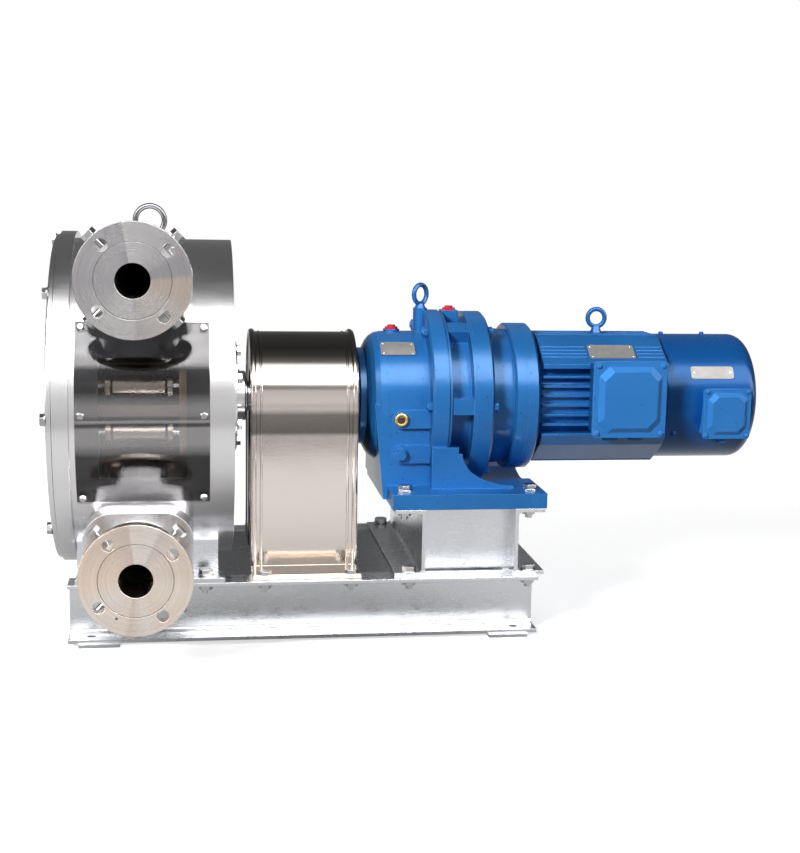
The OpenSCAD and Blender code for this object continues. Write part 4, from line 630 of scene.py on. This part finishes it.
def makeScrewTree():
    tree = Tree("screwHeads", {
        "Head Radius": ("Float", 0.003), "Head Height": ("Float", 0.0016),
        "Washer Radius": ("Float", 0.004), "Washer Height": ("Float", 0.0005),
        "Recess Radius": ("Float", 0.0012), "Sides": ("Int", 20)})
    half = tree.add("ShaderNodeMath", {"operation": "MULTIPLY"}, {0: tree.given("Head Height"), 1: 0.5})
    shoulder = tree.add("ShaderNodeMath", {"operation": "MULTIPLY"}, {
        0: tree.given("Head Radius"), 1: headShape["shoulder"]})
    lower = tree.add("GeometryNodeMeshCylinder", None, {
        "Vertices": tree.given("Sides"), "Radius": tree.given("Head Radius"), "Depth": half})
    lowerLift = tree.add("ShaderNodeMath", {"operation": "MULTIPLY"}, {0: half, 1: 0.5})
    lowerUp = tree.add("ShaderNodeCombineXYZ", None, {2: lowerLift})
    lowerSet = tree.add("GeometryNodeTransform", None, {0: lower, "Translation": lowerUp})
    dome = tree.add("GeometryNodeMeshCone", None, {
        "Vertices": tree.given("Sides"), "Radius Top": shoulder, "Radius Bottom": tree.given("Head Radius"),
        "Depth": half})
    domeUp = tree.add("ShaderNodeCombineXYZ", None, {2: half})
    domeSet = tree.add("GeometryNodeTransform", None, {0: dome, "Translation": domeUp})
    washer = tree.add("GeometryNodeMeshCylinder", None, {
        "Vertices": tree.given("Sides"), "Radius": tree.given("Washer Radius"),
        "Depth": tree.given("Washer Height")})
    recess = tree.add("GeometryNodeMeshCylinder", None, {
        "Vertices": headShape["socketSides"], "Radius": tree.given("Recess Radius"),
        "Depth": headShape["socketDepth"]})
    recessUp = tree.add("ShaderNodeCombineXYZ", None, {2: tree.given("Head Height")})
    recessSet = tree.add("GeometryNodeTransform", None, {0: recess, "Translation": recessUp})
    join = tree.add("GeometryNodeJoinGeometry", None, {0: [lowerSet, domeSet, washer, recessSet]})
    facing = tree.add("GeometryNodeInputNamedAttribute", {"data_type": "FLOAT_VECTOR"}, {"Name": "facing"})
    turn = tree.add("FunctionNodeAlignRotationToVector", {"axis": "Z"}, {"Vector": facing})
    tree.close(tree.add("GeometryNodeInstanceOnPoints", None, {
        "Points": tree.given("Geometry"), "Instance": join, "Rotation": turn}))
    return tree


screwTree = makeScrewTree()


def makeTubeTree():
    # Round bar along every line of the host mesh
    tree = Tree("roundBars", {"Bar Radius": ("Float", 0.003), "Sides": ("Int", 16)})
    line = tree.add("GeometryNodeMeshToCurve", None, {0: tree.given("Geometry")})
    ring = tree.add("GeometryNodeCurvePrimitiveCircle", {"mode": "RADIUS"}, {
        "Resolution": tree.given("Sides"), "Radius": tree.given("Bar Radius")})
    tree.close(tree.add("GeometryNodeCurveToMesh", None, {
        "Curve": line, "Profile Curve": ring, "Fill Caps": True}), True)
    return tree


tubeTree = makeTubeTree()
print("trees built")


def linesWith(lines):
    # A mesh of open lines
    mesh = bpy.data.meshes.new("lines")
    points, edges = [], []
    for line in lines:
        edges += [(len(points) + k, len(points) + k + 1) for k in range(len(line) - 1)]
        points += [tuple(point) for point in line]
    mesh.from_pydata(points, edges, [])
    return mesh


# Sizes of a small bare plate: grid, thickness, height of the rim over it, corner radius
plateShape = {"steps": (16, 10), "thick": 0.0012, "rim": 0.0004, "corner": 0.003}


def ruledPlate(name, rule, size, finish, slotName, shape=plateShape, smooth=False):
    # Closed plate, given by a rule that puts (u, v, height) in place
    wide, high = size
    steps, thick, rim, corner = (shape[key] for key in ("steps", "thick", "rim", "corner"))
    plate = bmesh.new()
    layers = []
    for top in (True, False):
        rows = []
        for j in range(steps[1] + 1):
            row = []
            for i in range(steps[0] + 1):
                u, v = (i / steps[0] - 0.5) * wide, (j / steps[1] - 0.5) * high
                du, dv = abs(u) - (wide / 2 - corner), abs(v) - (high / 2 - corner)
                if du > 0 and dv > 0 and math.hypot(du, dv) > corner:
                    pull = corner / math.hypot(du, dv)
                    u = math.copysign(wide / 2 - corner + du * pull, u)
                    v = math.copysign(high / 2 - corner + dv * pull, v)
                edge = i in (0, steps[0]) or j in (0, steps[1])
                row.append(plate.verts.new(rule(u, v, (thick + (rim if edge else 0)) if top else 0)))
            rows.append(row)
        layers.append(rows)
        for j in range(steps[1]):
            for i in range(steps[0]):
                plate.faces.new((rows[j][i], rows[j][i + 1], rows[j + 1][i + 1], rows[j + 1][i]))
    border = ([(0, i) for i in range(steps[0])] + [(j, steps[0]) for j in range(steps[1])]
              + [(steps[1], i) for i in range(steps[0], 0, -1)] + [(j, 0) for j in range(steps[1], 0, -1)])
    for (j, i), (nextJ, nextI) in zip(border, border[1:] + border[:1]):
        plate.faces.new((layers[0][j][i], layers[0][nextJ][nextI], layers[1][nextJ][nextI], layers[1][j][i]))
    bmesh.ops.recalc_face_normals(plate, faces=plate.faces)
    return addPiece(name, meshFrom(plate, name, smooth), finish, "frame", slotName)


def rolledRule(radius, midX, midAngle):
    # Rolled on a cylinder round the shaft, u along it and v round it; radius and midX in millimetres
    def rule(u, v, height):
        angle = midAngle + v / (radius / 1000)
        reach = radius + height * 1000
        return onShaft(midX + u * 1000, -reach * math.cos(angle), reach * math.sin(angle))
    return rule


def slopedRule(midX, low, high):
    # Flat on a slope that runs from low to high, each (y, z) in millimetres
    along = Vector((0, high[0] - low[0], high[1] - low[1])).normalized()
    outward = Vector((0, -along.z, along.y))
    middle = onShaft(midX, (low[0] + high[0]) / 2, (low[1] + high[1]) / 2)

    def rule(u, v, height):
        return middle + Vector((u, 0, 0)) + along * v + outward * height
    return rule


# Sloping shoulders of the motor frame, each from (y, z) to (y, z) in millimetres
frontShoulder = ((-94.5, 73.9), (-63.5, 93.6))
rearShoulder = ((63.5, 93.6), (94.5, 73.9))
cowlRadius = 107.5
barePlates = {
    "reducerPlate": {"rule": rolledRule(111, 419, math.radians(52)), "size": (0.057, 0.030), "slot": "drive_blue",
                     "rivets": ((-0.024, -0.011), (0.024, -0.011), (-0.024, 0.011), (0.024, 0.011))},
    "motorPlate": {"rule": slopedRule(781, *frontShoulder), "size": (0.079, 0.035), "slot": "drive_blue",
                   "rivets": ((-0.035, -0.013), (0.035, -0.013), (-0.035, 0.013), (0.035, 0.013))},
    "cowlPlate": {"rule": rolledRule(cowlRadius, 954, math.radians(28.2)), "size": (0.075, 0.022),
                  "slot": "cowl_blue", "rivets": ((-0.032, 0), (0.032, 0))},
}
rivetSizes = {"Head Radius": 0.0019, "Head Height": 0.0012, "Washer Radius": 0.0021, "Washer Height": 0.0002,
              "Recess Radius": 0.0005}


def makePlates():
    rivets = []
    for name, plate in barePlates.items():
        rule = plate["rule"]
        ruledPlate(name, rule, plate["size"], "barePlate", plate["slot"])
        for u, v in plate["rivets"]:
            rivets.append((rule(u, v, plateShape["thick"]), rule(u, v, 1) - rule(u, v, 0)))
    grow("plateRivets", screwTree, pointsWith(rivets), rivetSizes, "boltSteel", "frame", "bright_fastener")


makePlates()
print("bare plates made:", len(barePlates))

# Cast ribs along the sloping shoulders of the motor frame
ribLook = {
    "radius": 0.002, "sunk": 0.0004, "offsets": (-0.0135, -0.0045, 0.0045, 0.0135),
    "runs": ((slopedRule(0, *frontShoulder), ((661, 737), (825, 871))),
             (slopedRule(0, *rearShoulder), ((661, 871),))),
}


def makeRibs():
    lines = []
    for rule, spans in ribLook["runs"]:
        for offset in ribLook["offsets"]:
            for span in spans:
                lines.append([rule(x / 1000, offset, -ribLook["sunk"]) for x in span])
    grow("motorRibs", tubeTree, linesWith(lines), {"Bar Radius": ribLook["radius"]}, "driveBlue", "frame",
         "drive_blue")


makeRibs()
print("motor ribs made")

# Small screws of the box covers and the cowl, at (x, y, z, way) in millimetres
smallScrews = {
    "boxScrews": {"sizes": {"Head Radius": 0.0042, "Head Height": 0.0032, "Washer Radius": 0.0052},
                  "finish": "coverBlue", "slot": "cover_blue",
                  "places": [(795 + sx * 54.5, -151, 13 + sz * 56, (0, -1, 0))
                             for sx in (-1, 1) for sz in (-1, 1)]},
    "fanBoxScrews": {"sizes": {"Head Radius": 0.0032, "Head Height": 0.0026, "Washer Radius": 0.0042},
                     "finish": "coverBlue", "slot": "cover_blue",
                     "places": [(973 + sx * 35.5, -126, -15 + sz * 37, (0, -1, 0))
                                for sx in (-1, 1) for sz in (-1, 1)]},
    "cowlScrews": {"sizes": {"Head Radius": 0.0042, "Head Height": 0.004, "Washer Radius": 0.0055},
                   "finish": "cowlBlue", "slot": "cowl_blue",
                   "places": [(x, -cowlRadius * math.cos(a), cowlRadius * math.sin(a),
                               (0, -math.cos(a), math.sin(a)))
                              for x, a in ((892, math.radians(90)), (892, math.radians(210)),
                                           (892, math.radians(330)), (966, math.radians(90)))]},
}


def makeScrews():
    for name, group in smallScrews.items():
        points = [(onShaft(x, y, z), way) for x, y, z, way in group["places"]]
        grow(name, screwTree, pointsWith(points), group["sizes"], group["finish"], "frame", group["slot"])


makeScrews()
print("small screws made:", sum(len(group["places"]) for group in smallScrews.values()))

# Window sheet: rolled to the drum, edges eased
windowShape = {"steps": (24, 72), "thick": 0.0047, "rim": -0.0007, "corner": 0.002}


def makeWindow():
    low, high = (Vector(corner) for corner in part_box("window_pane"))
    outer = -low.y
    top, bottom = (math.asin((edge - shaftLine["shaftZ"]) / outer) for edge in (high.z, low.z))
    inner = outer - windowShape["thick"]
    rule = rolledRule(inner * 1000, (low.x + high.x) * 500 - shaftLine["drumX"] * 1000, (top + bottom) / 2)
    sheet = ruledPlate("windowSheet", rule, (high.x - low.x, (top - bottom) * inner), "windowClear", "window_glass",
                       windowShape, True)
    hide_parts("window_pane")


makeWindow()
print("window made")

# Coupling guard: rolled beads and steps at both ends of the arch, a bar along each foot; places in millimetres
guardLook = {
    "footTop": -267.5, "archSteps": 48,
    "beads": {"places": (180.5, 346.1), "reach": 108.4, "radius": 0.0049},
    "steps": {"places": (192.5, 334.1), "reach": 107.2, "radius": 0.0026},
    "footBars": {"from": 177.5, "to": 349.1, "side": 182.4, "radius": 0.0026, "lift": 0.6},
}


def archLine(x, reach, low):
    # Up one side, over the arch and down the other side
    turns = [math.pi * k / guardLook["archSteps"] for k in range(guardLook["archSteps"] + 1)]
    arc = [(x, -reach * math.cos(a), reach * math.sin(a)) for a in turns]
    return [onShaft(*point) for point in [(x, -reach, low)] + arc + [(x, reach, low)]]


def makeGuardBars():
    for name in ("beads", "steps"):
        bars = guardLook[name]
        grow("guard" + name.title(), tubeTree, linesWith([
            archLine(x, bars["reach"], guardLook["footTop"]) for x in bars["places"]]),
            {"Bar Radius": bars["radius"]}, "guardSteel", "frame", "guard_metal")
    feet = guardLook["footBars"]
    height = guardLook["footTop"] + feet["radius"] * 1000 * feet["lift"]
    grow("guardFootBars", tubeTree, linesWith([
        [onShaft(feet["from"], side * feet["side"], height), onShaft(feet["to"], side * feet["side"], height)]
        for side in (-1, 1)]), {"Bar Radius": feet["radius"]}, "guardSteel", "frame", "guard_metal")


makeGuardBars()
print("guard bars made")

# Oil sight: brass ring with a dark glass, both turned from (radius, height) pairs
sightLook = {
    "place": onShaft(420, -117, -24), "glassSides": 6,
    "ring": ((0.007, -0.012), (0.007, 0), (0.0112, 0), (0.0112, 0.0042), (0.0104, 0.0054), (0.0092, 0.0058),
             (0.0074, 0.0058), (0.0064, 0.0050), (0.0058, 0.0030)),
    "glass": ((0.0062, 0.0010), (0.0062, 0.0036), (0.0056, 0.0040)),
}


def makeSight():
    centre = sightLook["place"]
    ring = lathe("sightRing", sightLook["ring"], centre, (0, -1, 0), "sightBrass", "sight_brass")
    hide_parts("oil_sight")
    lathe("sightGlass", sightLook["glass"], centre, (0, -1, 0), "sightDark", "sight_brass",
          sightLook["glassSides"])


makeSight()
print("sight made")

# Camera at the photograph's place
viewpoint = {"place": (-0.1880, -2.4325, 0.7119), "yaw": 8.43, "pitch": 9.15, "roll": 1.08, "lens": 61.19,
             "sensor": 36}


def makeCamera():
    yaw, pitch, roll = (math.radians(viewpoint[key]) for key in ("yaw", "pitch", "roll"))
    ahead = Vector((math.sin(yaw) * math.cos(pitch), math.cos(yaw) * math.cos(pitch), -math.sin(pitch)))
    level = Vector((math.cos(yaw), -math.sin(yaw), 0))
    up = level.cross(ahead)
    right = math.cos(roll) * level + math.sin(roll) * up
    top = math.cos(roll) * up - math.sin(roll) * level
    data = bpy.data.cameras.new("photoCamera")
    data.lens, data.sensor_width, data.sensor_fit = viewpoint["lens"], viewpoint["sensor"], "AUTO"
    camera = bpy.data.objects.new("photoCamera", data)
    camera.matrix_world = Matrix((
        (right.x, top.x, -ahead.x, viewpoint["place"][0]),
        (right.y, top.y, -ahead.y, viewpoint["place"][1]),
        (right.z, top.z, -ahead.z, viewpoint["place"][2]),
        (0, 0, 0, 1)))
    scene.collection.objects.link(camera)
    scene.camera = camera


makeCamera()
print("camera ready")

# Studio: floor, sky and lamps
studio = {
    "floorSize": 14.0,
    "floorColour": (0.80, 0.80, 0.80),
    "floorGlow": 0.62,
    "floorBounce": (0.10, 0.10, 0.11),
    # Share of floorReach metres over which the seen floor turns to plain white
    "whiteStops": ((0.3, 0), (0.62, 1)),
    # Brightness of the floor in mirrored rays, out to floorReach metres
    "floorReach": 4.0,
    "floorBands": ((0.04, 0.12), (0.085, 0.35), (0.13, 0.82), (0.2, 0.95), (0.42, 1.0), (0.45, 0.3), (0.52, 0.22),
                   (0.56, 0.95), (0.64, 1.0), (0.68, 0.4), (0.8, 0.5), (1.0, 0.75)),
    "skyStrength": 0.10,
    "mirrorGain": 12.0,
    # Brightness met by a mirrored ray against its turn round the shaft: 0 faces the viewer, 90 is up
    "mirrorBands": ((-180, 0.072), (-110, 0.03), (-60, 0.04), (-42, 0.062), (-12, 0.072), (2, 0.066), (20, 0.055),
                    (26, 0.1), (30, 1.0), (60, 1.0), (68, 0.09), (82, 0.022), (100, 0.011), (150, 0.012),
                    (178, 0.018), (180, 0.03)),
    "lamps": {
        "keyLamp": {"place": (-2.5, -2.9, 2.1), "target": (-0.1, 0, 0.35), "size": 0.9, "power": 215},
        "fillLamp": {"place": (2.2, -2.2, 1.5), "target": (0.2, 0, 0.3), "size": 1.4, "power": 8},
        "backLamp": {"place": (0.6, 2.4, 2.4), "target": (0, 0, 0.3), "size": 1.6, "power": 40},
    },
}
white = (1, 1, 1, 1)


def rayMasks(finish):
    # 1 for rays that the camera sends, and 1 for mirrored rays
    return [finish.add("ShaderNodeLightPath", output=key) for key in ("Is Camera Ray", "Is Glossy Ray")]


def makeFloor():
    side = studio["floorSize"] / 2
    mesh = bpy.data.meshes.new("studioFloor")
    mesh.from_pydata([(-side, -side, 0), (side, -side, 0), (side, side, 0), (-side, side, 0)], [], [(0, 1, 2, 3)])
    floor = bpy.data.objects.new("studioFloor", mesh)
    scene.collection.objects.link(floor)
    f = newFinish("floorPaper")
    toCamera, toMirror = rayMasks(f)
    away = radiusFrom(f, (0, 0, 0), "Z") * (1 / studio["floorReach"])
    bounce = f.add("ShaderNodeBsdfDiffuse", None, {"Color": opaque(studio["floorBounce"])})
    mirrorGlow = f.add("ShaderNodeEmission", None, {"Color": f.ramp(away, *studio["floorBands"]), "Strength": 1.0})
    unseen = f.mixed(toMirror, bounce, mirrorGlow)
    plain = f.add("ShaderNodeBsdfDiffuse", None, {"Color": opaque(studio["floorColour"])})
    glow = f.add("ShaderNodeEmission", None, {"Color": white, "Strength": studio["floorGlow"]})
    near = f.add("ShaderNodeAddShader", None, {0: plain, 1: glow})
    far = f.add("ShaderNodeEmission", None, {"Color": white, "Strength": 1.0})
    seen = f.mixed(f.ramp(away, *studio["whiteStops"]), near, far)
    f.add("ShaderNodeOutputMaterial", None, {"Surface": f.mixed(toCamera, unseen, seen)})
    mesh.materials.append(f.owner)


def makeSky():
    world = bpy.data.worlds.new("studioSky")
    scene.world = world
    f = Finish(world)
    toCamera, toMirror = rayMasks(f)
    heading = f.add("ShaderNodeTexCoord")
    turn = f.angle(0 - f.part(heading, 1), f.part(heading, 2))
    bands = f.ramp(turn, *[(angle / 360 + 0.5, value) for angle, value in studio["mirrorBands"]])
    direct = f.add("ShaderNodeBackground", None, {"Color": white, "Strength": studio["skyStrength"]})
    glossy = f.add("ShaderNodeBackground", None, {"Color": bands, "Strength": studio["mirrorGain"]})
    plain = f.add("ShaderNodeBackground", None, {"Color": white, "Strength": 1.0})
    f.add("ShaderNodeOutputWorld", None, {"Surface": f.mixed(toCamera, f.mixed(toMirror, direct, glossy), plain)})


def makeLamps():
    for name, lamp in studio["lamps"].items():
        data = bpy.data.lights.new(name, "AREA")
        data.energy, data.size = lamp["power"], lamp["size"]
        light = bpy.data.objects.new(name, data)
        place, target = Vector(lamp["place"]), Vector(lamp["target"])
        turn = (place - target).to_track_quat("Z", "Y").to_matrix().to_4x4()
        light.matrix_world = Matrix.Translation(place) @ turn
        light.visible_glossy = False
        scene.collection.objects.link(light)


makeFloor()
makeSky()
makeLamps()
scene.view_settings.view_transform = "Standard"
print("studio ready")
